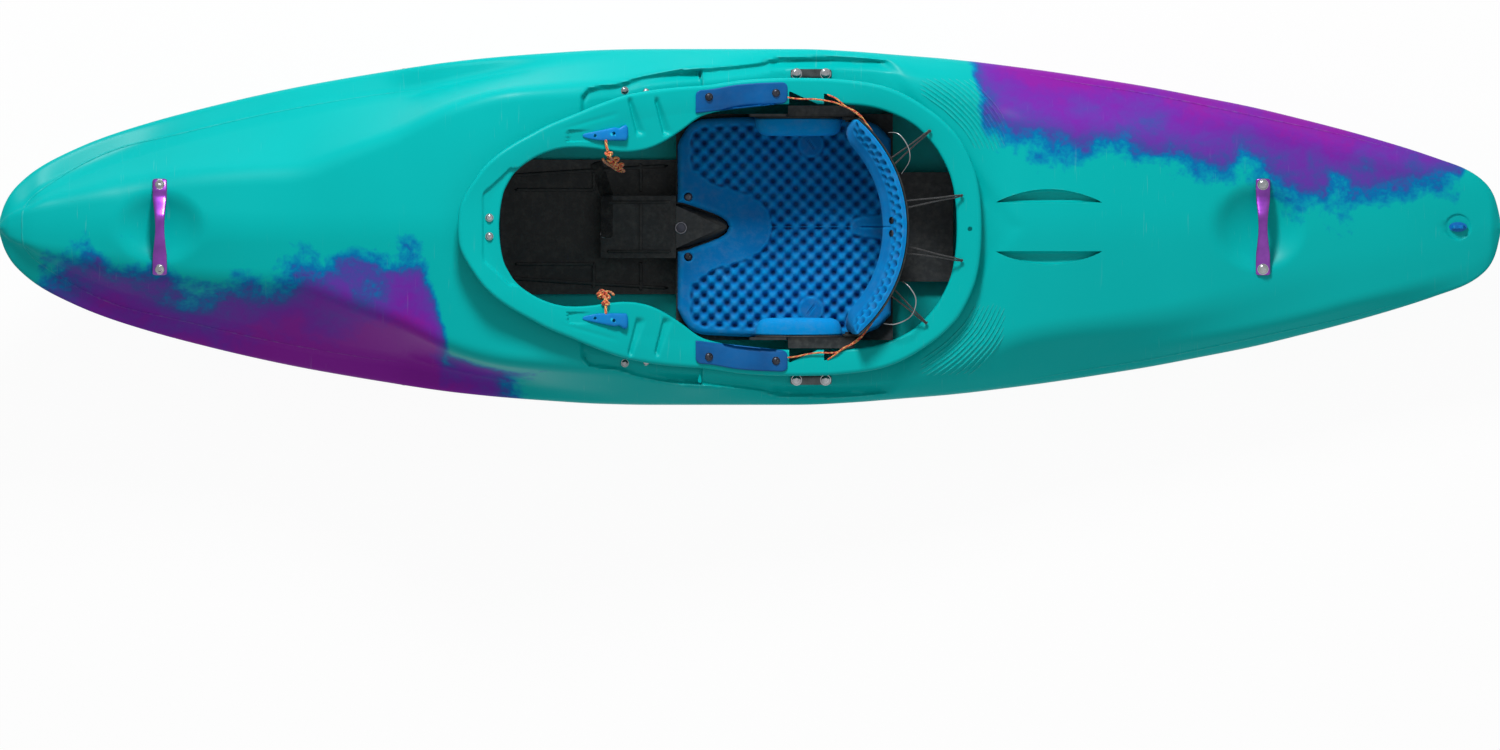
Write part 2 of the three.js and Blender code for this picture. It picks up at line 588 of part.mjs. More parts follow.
// Grab handles: an arched bar on two feet, bolted down over each finger well
const HANDLE_LENGTH = 177;
const HANDLE_END_WIDTH = 26;
const HANDLE_WAIST = 16;
const HANDLE_THICK = 6;
const HANDLE_RISE = 16;
const HANDLE_BOLT_SPACING = 155;
const FOOT_LENGTH = 22;
const FOOT_SINK = 3;
const handleShares = [
  [0.82, 0.2, 0.9], [0.66, 0.75, 0.55], [0.45, 0.95, 0.2], [0.22, 1, 0.05], [0, 1, 0],
];
const handleBolt = { head: 7, headHeight: 5, shank: 3, grip: 22 };
function grabHandle(end, place) {
  const x = xAt(place);
  const half = HANDLE_LENGTH / 2;
  const deck = (y) => deckHeight(x, y);
  const crown = deck(0) + HANDLE_RISE - HANDLE_THICK;
  const heel = half - FOOT_LENGTH;
  const stations = [
    [half, deck(half), 1],
    [heel, deck(heel), 1],
    ...handleShares.map(([out, rise, wide]) => {
      return [heel * out, deck(heel) + (crown - deck(heel)) * rise, wide];
    }),
  ];
  const all = [...stations, ...stations.slice(0, -1).reverse().map(([y, z, w]) => [-y, z, w])];
  const bar = loft(all.map(([y, z, wide]) => {
    const width = HANDLE_WAIST + (HANDLE_END_WIDTH - HANDLE_WAIST) * wide;
    const bottom = Math.abs(y) >= heel ? z - FOOT_SINK : z;
    return [
      [x - width / 2, bottom], [x + width / 2, bottom], [x + width / 2, z + HANDLE_THICK],
      [x - width / 2, z + HANDLE_THICK],
    ].map(([u, v]) => new THREE.Vector3(u, y, v));
  }));
  const slope = (deck(half) - deck(heel)) / FOOT_LENGTH;
  const holes = SIDES.map(([sideName, side]) => {
    const out = HANDLE_BOLT_SPACING / 2;
    const top = deck(heel) + slope * (out - heel) + HANDLE_THICK;
    const up = new THREE.Vector3(0, -slope * side, 1);
    const seat = new THREE.Vector3(x, out * side, top);
    return bolt(`${end}_handle_bolt_${sideName}`, seat, up, handleBolt, steel);
  });
  add(`${end}_grab_handle`, cut(bar, seatForm, ...holes), purpleMetal);
}
grabHandle("bow", BOW_HANDLE_share);
grabHandle("stern", STERN_HANDLE_share);

// The front of the rim: a shallow step, two bolts and the metal safety strap under it
const RIM_STEP_FROM_share = 0.05;
const RIM_STEP_HALF = 62;
const RIM_STEP_DEPTH = 4;
const FRONT_BOLT_share = 0.061;
const FRONT_BOLT_OUT = 17;
const STRAP_WIDTH = 16;
const STRAP_THICK = 4;
const STRAP_HALF = 27;
const STRAP_LOOP_HALF = 9;
const STRAP_LOOP_DROP = 24;
const frontBolt = { head: 6.5, headHeight: 5, shank: 3, grip: 20 };
const frontX = cockpitX(FRONT_BOLT_share);
const frontRow = rimRows[0];
const frontFloor = frontRow.at(frontX - COCKPIT_X, RIM_STEP_DEPTH).z;
const rimStep = block(
  cockpitX(RIM_STEP_FROM_share), cockpitX(rimShares[0][2]) + OVERRUN, -RIM_STEP_HALF,
  RIM_STEP_HALF, frontFloor, HEIGHT + OVERRUN,
);
SIDES.forEach(([sideName, side]) => {
  const seat = new THREE.Vector3(frontX, FRONT_BOLT_OUT * side, frontFloor);
  bolt(`front_rim_bolt_${sideName}`, seat, new THREE.Vector3(0, 0, 1), frontBolt, steel);
});
const strapFront = frontX - STRAP_WIDTH / 2;
const strapUnderFlange = [strapFront, strapFront + STRAP_WIDTH].map((x) => {
  return flangeUnder(frontRow, x - COCKPIT_X);
});
const strapTop = Math.min(...strapUnderFlange) - SEAT_GAP;
const strapShape = [
  [STRAP_HALF, strapTop], [STRAP_LOOP_HALF, strapTop],
  [STRAP_LOOP_HALF - STRAP_THICK / 2, strapTop - STRAP_LOOP_DROP + STRAP_THICK],
];
const strapUnder = [
  [STRAP_LOOP_HALF + STRAP_THICK / 2, strapTop - STRAP_LOOP_DROP],
  [STRAP_LOOP_HALF + STRAP_THICK, strapTop - STRAP_THICK], [STRAP_HALF, strapTop - STRAP_THICK],
];
const mirrored = (points) => [...points].reverse().map(([u, v]) => [-u, v]);
const strap = slab(
  [...strapShape, ...mirrored(strapShape), ...mirrored(strapUnder), ...strapUnder],
  "x", strapFront, strapFront + STRAP_WIDTH,
);
add("front_safety_bar", cut(strap, ...boltHoles), steel);

// Bolts through the floors of the two long pockets
const braceBoltShares = [["front", 0.319, 0.49], ["rear", 0.36, -0.15]];
const braceBolt = { head: 6.5, headHeight: 4, shank: 3, grip: 14 };
SIDES.forEach(([sideName, side]) => {
  braceBoltShares.forEach(([end, along, out]) => {
    const x = cockpitX(along);
    const y = (rimOuter(x) + out * LIP_OVERHANG) * side;
    const seat = new THREE.Vector3(x, y, pocketFloor(x));
    bolt(`brace_bolt_${sideName}_${end}`, seat, facing(pocketFloor, x, y), braceBolt, steel);
  });
});

// Steel plates on the shelves beside the rim
const PLATE_FROM_share = 0.635;
const PLATE_LENGTH = 75;
const PLATE_WIDTH = 17;
const PLATE_THICK = 3;
const PLATE_OUT_share = 0.86;
const PLATE_BOLT_INSET = 11;
const plateBolt = { head: 9, headHeight: 4, shank: 3, grip: 16 };
SIDES.forEach(([sideName, side]) => {
  const [out, from] = [(PLATE_OUT_share * BEAM) / 2, cockpitX(PLATE_FROM_share)];
  const to = from + PLATE_LENGTH;
  const top = (x) => deckHeight(x, out - PLATE_WIDTH / 2) + PLATE_THICK;
  const level = (x) => top(from) + ((top(to) - top(from)) * (x - from)) / PLATE_LENGTH;
  const bar = slab([
    [from, level(from) - PLATE_THICK * 2], [to, level(to) - PLATE_THICK * 2], [to, level(to)],
    [from, level(from)],
  ], "y", out - PLATE_WIDTH / 2, out + PLATE_WIDTH / 2);
  const holes = [["front", from + PLATE_BOLT_INSET], ["rear", to - PLATE_BOLT_INSET]];
  const tools = holes.map(([end, x]) => {
    const seat = new THREE.Vector3(x, out * side, level(x));
    const name = `side_plate_bolt_${sideName}_${end}`;
    return bolt(name, seat, facing(level, x, 0), plateBolt, steel);
  });
  add(`side_plate_${sideName}`, cut(flipped(cut(bar, seatForm), side), ...tools), steel);
});

// Foot rails on the inside of the hull, and the footrest that slides along them
const FOOTREST_FROM_BOW = 782;
const RAIL_BOLT_SPACING = 82;
const RAIL_LENGTH = 230;
const RAIL_HEIGHT = 26;
const RAIL_MIDDLE_share = 0.4592;
const RAIL_DEPTH = 32.1;
const railBolt = { head: 9, headHeight: 5, shank: 3, grip: 16 };
const footrestX = FOOTREST_FROM_BOW - LENGTH / 2;
const railMiddle = HEIGHT * RAIL_MIDDLE_share;
const railInner = sideWidth(footrestX, railMiddle, WALL + SEAT_GAP) - RAIL_DEPTH;
SIDES.forEach(([sideName, side]) => {
  [["front", -1], ["rear", 1]].forEach(([end, way]) => {
    const x = footrestX + (way * RAIL_BOLT_SPACING) / 2;
    const side1 = facing((u, v) => sideWidth(u, v), x, railMiddle);
    const out = new THREE.Vector3(side1.x, side1.z * side, side1.y);
    const seat = new THREE.Vector3(x, sideWidth(x, railMiddle) * side, railMiddle);
    bolt(`foot_rail_bolt_${sideName}_${end}`, seat, out, railBolt, steel);
  });
});
const railFrom = footrestX - RAIL_LENGTH / 2;
SIDES.forEach(([sideName, side]) => {
  const bar = block(
    railFrom, railFrom + RAIL_LENGTH, railInner, BEAM / 2, railMiddle - RAIL_HEIGHT / 2,
    railMiddle + RAIL_HEIGHT / 2,
  );
  const fitted = common(flipped(bar, side), inside);
  add(`foot_rail_${sideName}`, cut(fitted, ...boltHoles), blackPlastic);
});

const PLATE_TOP_Z = 292;
const PLATE_LOW_Z = 84;
const PLATE_KNEE_Z = 142;
const PLATE_LOW_HALF = 140;
const FOOT_PLATE_THICK = 8;
const FOOT_PAD_THICK = 25;
const FOOT_PAD_MARGIN = 14;
const SHOE_LENGTH = 50;
const SHOE_WALL = 6;
const SHOE_GRIP = 4.5;
const shoeInner = railInner - SEAT_GAP;
const [railLow, railHigh] = [-1, 1].map((way) => railMiddle + (way * RAIL_HEIGHT) / 2);
function footPlateOutline(margin) {
  const side = [
    [PLATE_LOW_HALF, PLATE_LOW_Z + margin], [shoeInner - SHOE_WALL - margin, PLATE_KNEE_Z + margin],
    [shoeInner - SHOE_WALL - margin, railHigh + margin], [PLATE_LOW_HALF, PLATE_TOP_Z - margin],
  ];
  return [...side, ...mirrored(side)];
}
const shoe = (side) => {
  const [low, high] = [railLow - SEAT_GAP, railHigh + SEAT_GAP];
  const outline = [
    [shoeInner - SHOE_WALL * 2, low - SHOE_WALL], [shoeInner + SHOE_GRIP, low - SHOE_WALL],
    [shoeInner + SHOE_GRIP, low], [shoeInner, low], [shoeInner, high],
    [shoeInner + SHOE_GRIP, high], [shoeInner + SHOE_GRIP, high + SHOE_WALL],
    [shoeInner - SHOE_WALL * 2, high + SHOE_WALL],
  ].map(([y, z]) => [y * side, z]);
  return slab(outline, "x", footrestX - SHOE_LENGTH / 2, footrestX + SHOE_LENGTH / 2);
};
const plateFront = footrestX - FOOT_PLATE_THICK / 2;
const footPlate = slab(footPlateOutline(0), "x", plateFront, plateFront + FOOT_PLATE_THICK);
add("footrest_plate", join(footPlate, shoe(1), shoe(-1)), blackPlastic);
const padFront = plateFront + FOOT_PLATE_THICK + GAP;
const footPad = slab(footPlateOutline(FOOT_PAD_MARGIN), "x", padFront, padFront + FOOT_PAD_THICK);
const shoeRoom = SIDES.map(([, side]) => {
  const edge = shoeInner - SHOE_WALL * 2 - SEAT_GAP;
  const [low, high] = [railLow - SHOE_WALL * 2, railHigh + SHOE_WALL * 2];
  const box = block(padFront - OVERRUN, padFront + OVERRUN, edge, BEAM / 2, low, high);
  return flipped(box, side);
});
add("footrest_pad", cut(footPad, ...shoeRoom), greyFoam);

// The seat pan: a hollow black moulding with a raised front, hip plates and a rear tray
const SEAT_FROM_share = 0.417;
const SEAT_TO_share = 0.83;
const TRAY_TO_share = 0.945;
const PAN_HALF_share = 0.7582;
const PAN_WALL = 5;
const TRAY_HALF = 100;
const TRAY_HEIGHT = 36;
const PAN_HALF = (COCKPIT_WIDTH / 2) * PAN_HALF_share;
const panTopShares = [
  [SEAT_FROM_share, 0.182], [0.5, 0.166], [0.6, 0.121], [0.7, 0.103], [0.77, 0.103],
  [SEAT_TO_share, 0.121],
];
const panTop = (x) => {
  const at = cockpitShare(x);
  const i = Math.max(1, panTopShares.findIndex((row) => row[0] >= at));
  const [a, b] = [panTopShares[i - 1], panTopShares[i]];
  return HEIGHT * (a[1] + ((b[1] - a[1]) * (at - a[0])) / (b[0] - a[0]));
};
const seatFrom = cockpitX(SEAT_FROM_share);
const seatTo = cockpitX(SEAT_TO_share);
const trayTo = cockpitX(TRAY_TO_share);
const underside = -OVERRUN;
const panOutline = (drop, inset) => [
  [seatFrom + inset, underside - inset], [seatTo - inset, underside - inset],
  ...panTopShares.map(([at, up]) => {
    return [Math.min(Math.max(cockpitX(at), seatFrom + inset), seatTo - inset), up * HEIGHT - drop];
  }).reverse(),
];
const panBody = cut(
  slab(panOutline(0, 0), "y", -PAN_HALF, PAN_HALF),
  slab(panOutline(PAN_WALL, PAN_WALL), "y", PAN_WALL - PAN_HALF, PAN_HALF - PAN_WALL),
);
const tray = cut(
  block(seatTo - PAN_WALL, trayTo, -TRAY_HALF, TRAY_HALF, underside, TRAY_HEIGHT),
  block(
    seatTo - PAN_WALL * 2, trayTo - PAN_WALL, PAN_WALL - TRAY_HALF, TRAY_HALF - PAN_WALL,
    underside - PAN_WALL, TRAY_HEIGHT - PAN_WALL,
  ),
);

// Hip plates rise from the pan, carry the backband's pivots and reach up behind the rim flaps
const HIP_FROM_share = 0.557;
const HIP_TO_share = 0.757;
const RISER_TO_share = 0.63;
const HIP_TOP_Z = 215;
const RISER_TOP_Z = 266;
const HIP_FLANGE = 15;
const PIVOT_FROM_HIP_END = 12;
const PIVOT_Z = 205;
const PIVOT_RADIUS = 5;
const PIVOT_STUB = 10;
const hipFrom = cockpitX(HIP_FROM_share);
const hipTo = cockpitX(HIP_TO_share);
const pivotX = hipTo - PIVOT_FROM_HIP_END;
const hipInner = PAN_HALF - PAN_WALL;
const hipSide = (side) => {
  const plate = slab([
    [hipFrom, panTop(hipFrom) - PAN_WALL], [hipTo, panTop(hipTo) - PAN_WALL], [hipTo, HIP_TOP_Z],
    [cockpitX(RISER_TO_share), HIP_TOP_Z], [cockpitX(RISER_TO_share) - PAN_WALL, RISER_TOP_Z],
    [hipFrom, RISER_TOP_Z],
  ], "y", hipInner, PAN_HALF);
  const flange = block(
    cockpitX(RISER_TO_share), hipTo, hipInner, PAN_HALF + HIP_FLANGE, HIP_TOP_Z - PAN_WALL, HIP_TOP_Z,
  );
  const stub = rod(PIVOT_RADIUS, -PAN_WALL, PIVOT_STUB, BOLT_SIDES * 2).rotateX(Math.PI / 2);
  return flipped(join(plate, flange, stub.translate(pivotX, hipInner, PIVOT_Z)), side);
};

// Shapes of the cushion, needed here for the screws through it
const PAD_THICK = 28;
const PAD_EDGE = 6;
const PAD_DISH = 4;
const SCREW_IN = 22;
const SCREW_OUT = 55;
const seatScrew = { head: 6, headHeight: 4, shank: 2.5, grip: 34 };
SIDES.forEach(([sideName, side]) => {
  const x = seatFrom + SCREW_IN;
  const seat = new THREE.Vector3(x, SCREW_OUT * side, panTop(x) + GAP + PAD_THICK - PAD_DISH);
  bolt(`seat_screw_${sideName}`, seat, facing(panTop, x, 0), seatScrew, blackSteel);
});

// The hump between the paddler's legs runs from the front floor into the seat's notch
const HUMP_HALF = 57;
const HUMP_FROM_share = 0.273;
const HUMP_FRONT_Z = 66;
const HUMP_BACK_Z = 98;
const NOTCH_TO_share = 0.517;
const NOTCH_HALF = 44;
const noseOutline = (inset) => [
  [seatFrom, inset - NOTCH_HALF], [seatFrom, NOTCH_HALF - inset],
  [cockpitX(NOTCH_TO_share) - inset * 2, 0],
];
const nose = slab(noseOutline(PAN_WALL), "z", panTop(seatTo), HUMP_BACK_Z);
const pan = common(join(panBody, tray, nose, hipSide(1), hipSide(-1)), cut(inside, block(
  -LENGTH, LENGTH, -BEAM, BEAM, HEIGHT, HEIGHT + OVERRUN,
)));
add("seat_pan", cut(pan, ...boltHoles), blackPlastic);

// Foam walls that hold the deck up off the hull, bow and stern
const PILLAR_THICK = 60;
const BOW_PILLAR_FROM_share = 0.05;
const BOW_PILLAR_CLEAR = 75;
const STERN_PILLAR_CLEAR = 106;
const STERN_PILLAR_TO_share = 0.953;
const pillarRoom = cut(inside, ...wells(WALL + SEAT_GAP));
[
  ["bow_pillar", xAt(BOW_PILLAR_FROM_share), plateFront - BOW_PILLAR_CLEAR],
  ["stern_pillar", trayTo + STERN_PILLAR_CLEAR, xAt(STERN_PILLAR_TO_share)],
].forEach(([name, from, to]) => {
  const wall = block(from, to, -PILLAR_THICK / 2, PILLAR_THICK / 2, 0, HEIGHT);
  add(name, common(wall, pillarRoom), greyFoam);
});

// The seat cushion follows the pan's top, with a notch round the hump
const padWidthShares = [[0, 0.88], [0.06, 0.97], [0.4, 1], [0.8, 1], [0.93, 0.93], [1, 0.8]];
const padWidth = curve(padWidthShares);
const PAD_HALF = hipInner - RUN;
const padRingShares = [
  0.42, 0.435, ...panTopShares.slice(1, -1).map(([at]) => at), 0.8, 0.826,
];
const padPlaces = padRingShares.map(cockpitX);
const padRings = padPlaces.map((x, i) => {
  const along = (x - padPlaces[0]) / (padPlaces[padPlaces.length - 1] - padPlaces[0]);
  const half = PAD_HALF * padWidth(along);
  const end = i === 0 || i === padPlaces.length - 1;
  const base = panTop(x) + GAP;
  const thick = PAD_THICK - (end ? PAD_EDGE : 0);
  const side = [
    [half - PAD_EDGE, base], [half, base + PAD_EDGE], [half, base + thick - PAD_EDGE],
    [half - PAD_EDGE * 2, base + thick], [half / 2, base + thick - PAD_DISH],
  ];
  return [...side, ...mirrored(side)].map(([y, z]) => new THREE.Vector3(x, y, z));
});
const padNotch = slab([
  [seatFrom - OVERRUN, -NOTCH_HALF], [seatFrom - OVERRUN, NOTCH_HALF], [seatFrom, NOTCH_HALF],
  [cockpitX(NOTCH_TO_share), 0], [seatFrom, -NOTCH_HALF],
], "z", 0, HEIGHT);
add("seat_pad", cut(loft(padRings), padNotch, ...boltHoles), blueFoam);

// The front floor: a thin plate that follows the hull, with the hump standing on it
const FLOOR_FROM_share = 0.082;
const FLOOR_HALF = 123;
const FLOOR_THICK = 8;
const floorTo = seatFrom - GAP;
const floorLayer = cut(inside, hullSolid(hollowShares, WALL + SEAT_GAP + FLOOR_THICK));
const floorPlate = common(floorLayer, block(
  cockpitX(FLOOR_FROM_share), floorTo, -FLOOR_HALF, FLOOR_HALF, underside, HUMP_BACK_Z,
));
const humpOutline = (inset) => [
  [cockpitX(HUMP_FROM_share) + inset, underside - inset], [floorTo - inset, underside - inset],
  [floorTo - inset, HUMP_BACK_Z - inset], [cockpitX(HUMP_FROM_share) + inset, HUMP_FRONT_Z - inset],
];
const hump = common(slab(humpOutline(0), "y", -HUMP_HALF, HUMP_HALF), inside);
const humpHollow = slab(humpOutline(PAN_WALL), "y", PAN_WALL - HUMP_HALF, HUMP_HALF - PAN_WALL);
add("front_floor", cut(join(floorPlate, hump), humpHollow), blackPlastic);

// Hip pads on the insides of the hip plates
const HIP_PAD_FROM = 8;
const HIP_PAD_TO = 20;
const HIP_PAD_LOW_Z = 96;
const HIP_PAD_HIGH_Z = 180;
const HIP_PAD_THICK = 36;
const HIP_PAD_ROUND = 14;
SIDES.forEach(([sideName, side]) => {
  const [from, to] = [hipFrom + HIP_PAD_FROM, hipTo - HIP_PAD_TO];
  const outer = hipInner - GAP;
  const layers = [[0, 0], [HIP_PAD_THICK - HIP_PAD_ROUND, 0], [HIP_PAD_THICK, HIP_PAD_ROUND]];
  const rings = layers.map(([depth, inset]) => {
    const [a, b] = [from + inset, to - inset];
    const [c, d] = [HIP_PAD_LOW_Z + inset, HIP_PAD_HIGH_Z - inset];
    const r = HIP_PAD_ROUND;
    return [
      [a + r, c], [b - r, c], [b, c + r], [b, d - r], [b - r, d], [a + r, d], [a, d - r],
      [a, c + r],
    ].map(([x, z]) => new THREE.Vector3(x, outer - depth, z));
  });
  add(`hip_pad_${sideName}`, flipped(loft(rings), side), blueFoam);
});

// Flaps over the rim, each bolted down twice
const FLAP_FROM_share = 0.4624;
const FLAP_TO_share = 0.6297;
const FLAP_THICK = 4;
const FLAP_OUT_MARGIN = 7;
const FLAP_INNER_Y = PAN_HALF + RUN;
const FLAP_LIP_DROP = 22;
const FLAP_LIP_THICK = 5;
const flapBoltShares = [["front", 0.4797, 0.871], ["rear", 0.6074, 0.898]];
const flapBolt = { head: 7.5, headHeight: 5, shank: 3, grip: 22 };
SIDES.forEach(([sideName, side]) => {
  const outerAt = (t) => {
    const along = FLAP_FROM_share + (FLAP_TO_share - FLAP_FROM_share) * t;
    return (rimRowAt(along)[1] * COCKPIT_WIDTH) / 2 - FLAP_OUT_MARGIN;
  };
  const top = onRim(FLAP_FROM_share, FLAP_TO_share, outerAt, () => FLAP_INNER_Y, () => FLAP_THICK, 1);
  const [lipFrom, lipTo] = [hipFrom, cockpitX(FLAP_TO_share) - GAP];
  const lip = slab([
    [lipFrom, rimTop(lipFrom, FLAP_INNER_Y) - FLAP_LIP_DROP],
    [lipTo, rimTop(lipTo, FLAP_INNER_Y) - FLAP_LIP_DROP],
    [lipTo, rimTop(lipTo, FLAP_INNER_Y) + FLAP_THICK],
    [lipFrom, rimTop(lipFrom, FLAP_INNER_Y) + FLAP_THICK],
  ], "y", FLAP_INNER_Y, FLAP_INNER_Y + FLAP_LIP_THICK);
  const tools = flapBoltShares.map(([end, along, out]) => {
    const [x, y] = [cockpitX(along), (out * COCKPIT_WIDTH * side) / 2];
    const seat = new THREE.Vector3(x, y, rimTop(x, y) + RUN + FLAP_THICK);
    return bolt(`seat_flap_bolt_${sideName}_${end}`, seat, facing(rimTop, x, y), flapBolt, blackSteel);
  });
  add(`seat_flap_${sideName}`, cut(flipped(join(top, lip), side), ...tools), flapPlastic);
});

// Cleats for the backband cords, wedges that thicken towards the stern
const CLEAT_FROM_share = 0.236;
const CLEAT_TO_share = 0.323;
const CLEAT_OUTER_share = 0.674;
const CLEAT_INNER_share = 0.5824;
const CLEAT_LOW = 5;
const CLEAT_HIGH = 14;
const [cleatOuter, cleatInner] = [CLEAT_OUTER_share, CLEAT_INNER_share].map((out) => {
  return (out * COCKPIT_WIDTH) / 2;
});
SIDES.forEach(([sideName, side]) => {
  const thick = (t) => CLEAT_LOW + (CLEAT_HIGH - CLEAT_LOW) * t;
  const outer = (t) => cleatInner + (cleatOuter - cleatInner) * (1 / 3 + (t * 2) / 3);
  const wedge = onRim(CLEAT_FROM_share, CLEAT_TO_share, outer, () => cleatInner, thick, side);
  add(`cord_cleat_${sideName}`, wedge, bluePlastic);
});

// The backband: a curved stiff shell with a thick pad, hung on the hip plates' stubs
const BAND_BEHIND_PIVOT = 11.2;
const BAND_SHELL = 5;
const BAND_PAD = 28;
const BAND_LOW_Z = 165;
const BAND_HIGH_Z = 313;
const BAND_LEAN = 15;
const BAND_STEP = THREE.MathUtils.degToRad(7);
const BAND_SHELL_STEPS = 7;
const BAND_PAD_STEPS = 6;
const EAR_LENGTH = 32;
const EAR_HEIGHT = 30;
const EAR_THICK = 6;
const EAR_JOIN_share = 0.3;
const bandEnd = hipInner - SEAT_GAP - EAR_THICK * EAR_JOIN_share;
const BAND_RADIUS = bandEnd / Math.sin(BAND_STEP * BAND_SHELL_STEPS);
const bandTilt = BAND_LEAN / (BAND_HIGH_Z - BAND_LOW_Z);
const bandEndX = pivotX + BAND_BEHIND_PIVOT + (BAND_HIGH_Z - PIVOT_Z) * bandTilt;
const bandX = bandEndX - BAND_RADIUS * Math.cos(BAND_STEP * BAND_SHELL_STEPS);
const bandMiddle = (z) => bandX + (z - BAND_HIGH_Z) * bandTilt;
function bandWall(outer, thick, steps) {
  const turns = [...Array(steps * 2 + 1).keys()].map((i) => (i - steps) * BAND_STEP);
  const arc = (radius) => turns.map((turn) => {
    return [bandMiddle(0) + radius * Math.cos(turn), radius * Math.sin(turn)];
  });
  const upright = slab([...arc(outer), ...arc(outer - thick).reverse()], "z", BAND_LOW_Z, BAND_HIGH_Z);
  return upright.applyMatrix4(new THREE.Matrix4().makeShear(0, 0, 0, 0, bandTilt, 0));
}
const ears = SIDES.map(([, side]) => {
  const outer = hipInner - SEAT_GAP;
  const [back, low] = [pivotX + EAR_LENGTH * (2 / 3), PIVOT_Z - EAR_HEIGHT / 2];
  const plate = block(back - EAR_LENGTH, back, outer - EAR_THICK, outer, low, low + EAR_HEIGHT);
  const bore = rod(PIVOT_RADIUS + GAP, -OVERRUN, OVERRUN, BOLT_SIDES * 2).rotateX(Math.PI / 2);
  return flipped(cut(plate, bore.translate(pivotX, outer, PIVOT_Z)), side);
});
const bandShell = bandWall(BAND_RADIUS, BAND_SHELL, BAND_SHELL_STEPS);
const bandPad = bandWall(BAND_RADIUS - BAND_SHELL - GAP, BAND_PAD, BAND_PAD_STEPS);
const BAND_SCREW_OUT = 12;
const BAND_SCREW_Z = 290;
const BAND_SCREW_SINK = 2;
const bandScrew = { head: 5, headHeight: 3, shank: 2, grip: BAND_PAD };
const bandScrewTools = SIDES.map(([sideName, side]) => {
  const face = bandMiddle(BAND_SCREW_Z) + BAND_RADIUS - BAND_SHELL - BAND_PAD + BAND_SCREW_SINK;
  const seat = new THREE.Vector3(face, BAND_SCREW_OUT * side, BAND_SCREW_Z);
  return bolt(`backband_screw_${sideName}`, seat, new THREE.Vector3(-1, 0, 0), bandScrew, blackSteel);
});
const clampedShell = cut(join(bandShell, ...ears), ...bandScrewTools);
add("backband_shell", clampedShell, blackPlastic);
add("backband_pad", cut(bandPad, ...bandScrewTools), blueFoam);

// Cords: a round section swept along a smooth line through points chosen by hand
const CORD_RADIUS = 2.5;
const CORD_SIDES = 8;
function cord(points, steps) {
  const path = new THREE.CatmullRomCurve3(points.map((p) => new THREE.Vector3(...p)));
  const section = new THREE.Shape([...Array(CORD_SIDES).keys()].map((i) => {
    const turn = (2 * Math.PI * i) / CORD_SIDES;
    return new THREE.Vector2(CORD_RADIUS * Math.cos(turn), CORD_RADIUS * Math.sin(turn));
  }));
  return new THREE.ExtrudeGeometry(section, { steps, extrudePath: path, bevelEnabled: false });
}

// The two knotted tails that hang from the cleats over the rim's inner edge
const TAIL_STEPS = 36;
const starboardTail = [
  [-264, 158.5, 366], [-263, 150, 364.5], [-261, 141, 363], [-258, 132, 357], [-255, 126, 343],
  [-251, 122, 320], [-245, 116, 290], [-238, 109, 262], [-232, 104, 245], [-231, 102, 233],
  [-237, 102, 225], [-245, 105, 227], [-251, 109, 238], [-257, 113, 258], [-263, 117, 290],
  [-267, 121, 318], [-269, 124, 336],
];
const portTail = [
  [-264, -158.5, 366], [-264, -150, 364.5], [-264, -141, 363], [-265, -132, 357],
  [-267, -127, 342], [-270, -123, 315], [-273, -121, 290], [-272, -120, 272],
  [-266, -119, 262], [-258, -119, 264], [-253, -121, 276], [-251, -123, 300],
  [-250, -124, 330],
];
add("cord_tail_starboard", cord(starboardTail, TAIL_STEPS), orangeCord);
add("cord_tail_port", cord(portTail, TAIL_STEPS), orangeCord);

// Cords from the flaps over the rim to the backband's shoulders
const ADJUST_STEPS = 14;
const NOTCH_HALF_LENGTH = 14;
const NOTCH_DEPTH = 9;
const notchShares = [0.641, 0.716];
const notches = SIDES.flatMap(([, side]) => notchShares.map((along) => {
  const [x, edge] = [cockpitX(along), rimInner(cockpitX(along))];
  return flipped(block(
    x - NOTCH_HALF_LENGTH, x + NOTCH_HALF_LENGTH, edge - OVERRUN, edge + NOTCH_DEPTH,
    rimTop(x, edge) - FLANGE - OVERRUN, HEIGHT,
  ), side);
}));
const adjustShares = [
  [0.6304, 0.872, 0.002], [0.66, 0.858, 0.004], [0.69, 0.848, 0.003], [0.72, 0.838, 0],
  [0.738, 0.81, -0.01], [0.752, 0.785, -0.022], [0.77, 0.736, -0.045], [0.79, 0.64, -0.07],
];
SIDES.forEach(([sideName, side]) => {
  const points = adjustShares.map(([along, out, up]) => {
    const [x, y] = [cockpitX(along), (out * COCKPIT_WIDTH) / 2];
    return [x, y * side, rimTop(x, y) + CORD_RADIUS + SEAT_GAP + up * COCKPIT_WIDTH / 2];
  });
  add(`adjust_cord_${sideName}`, cord(points, ADJUST_STEPS), orangeCord);
});

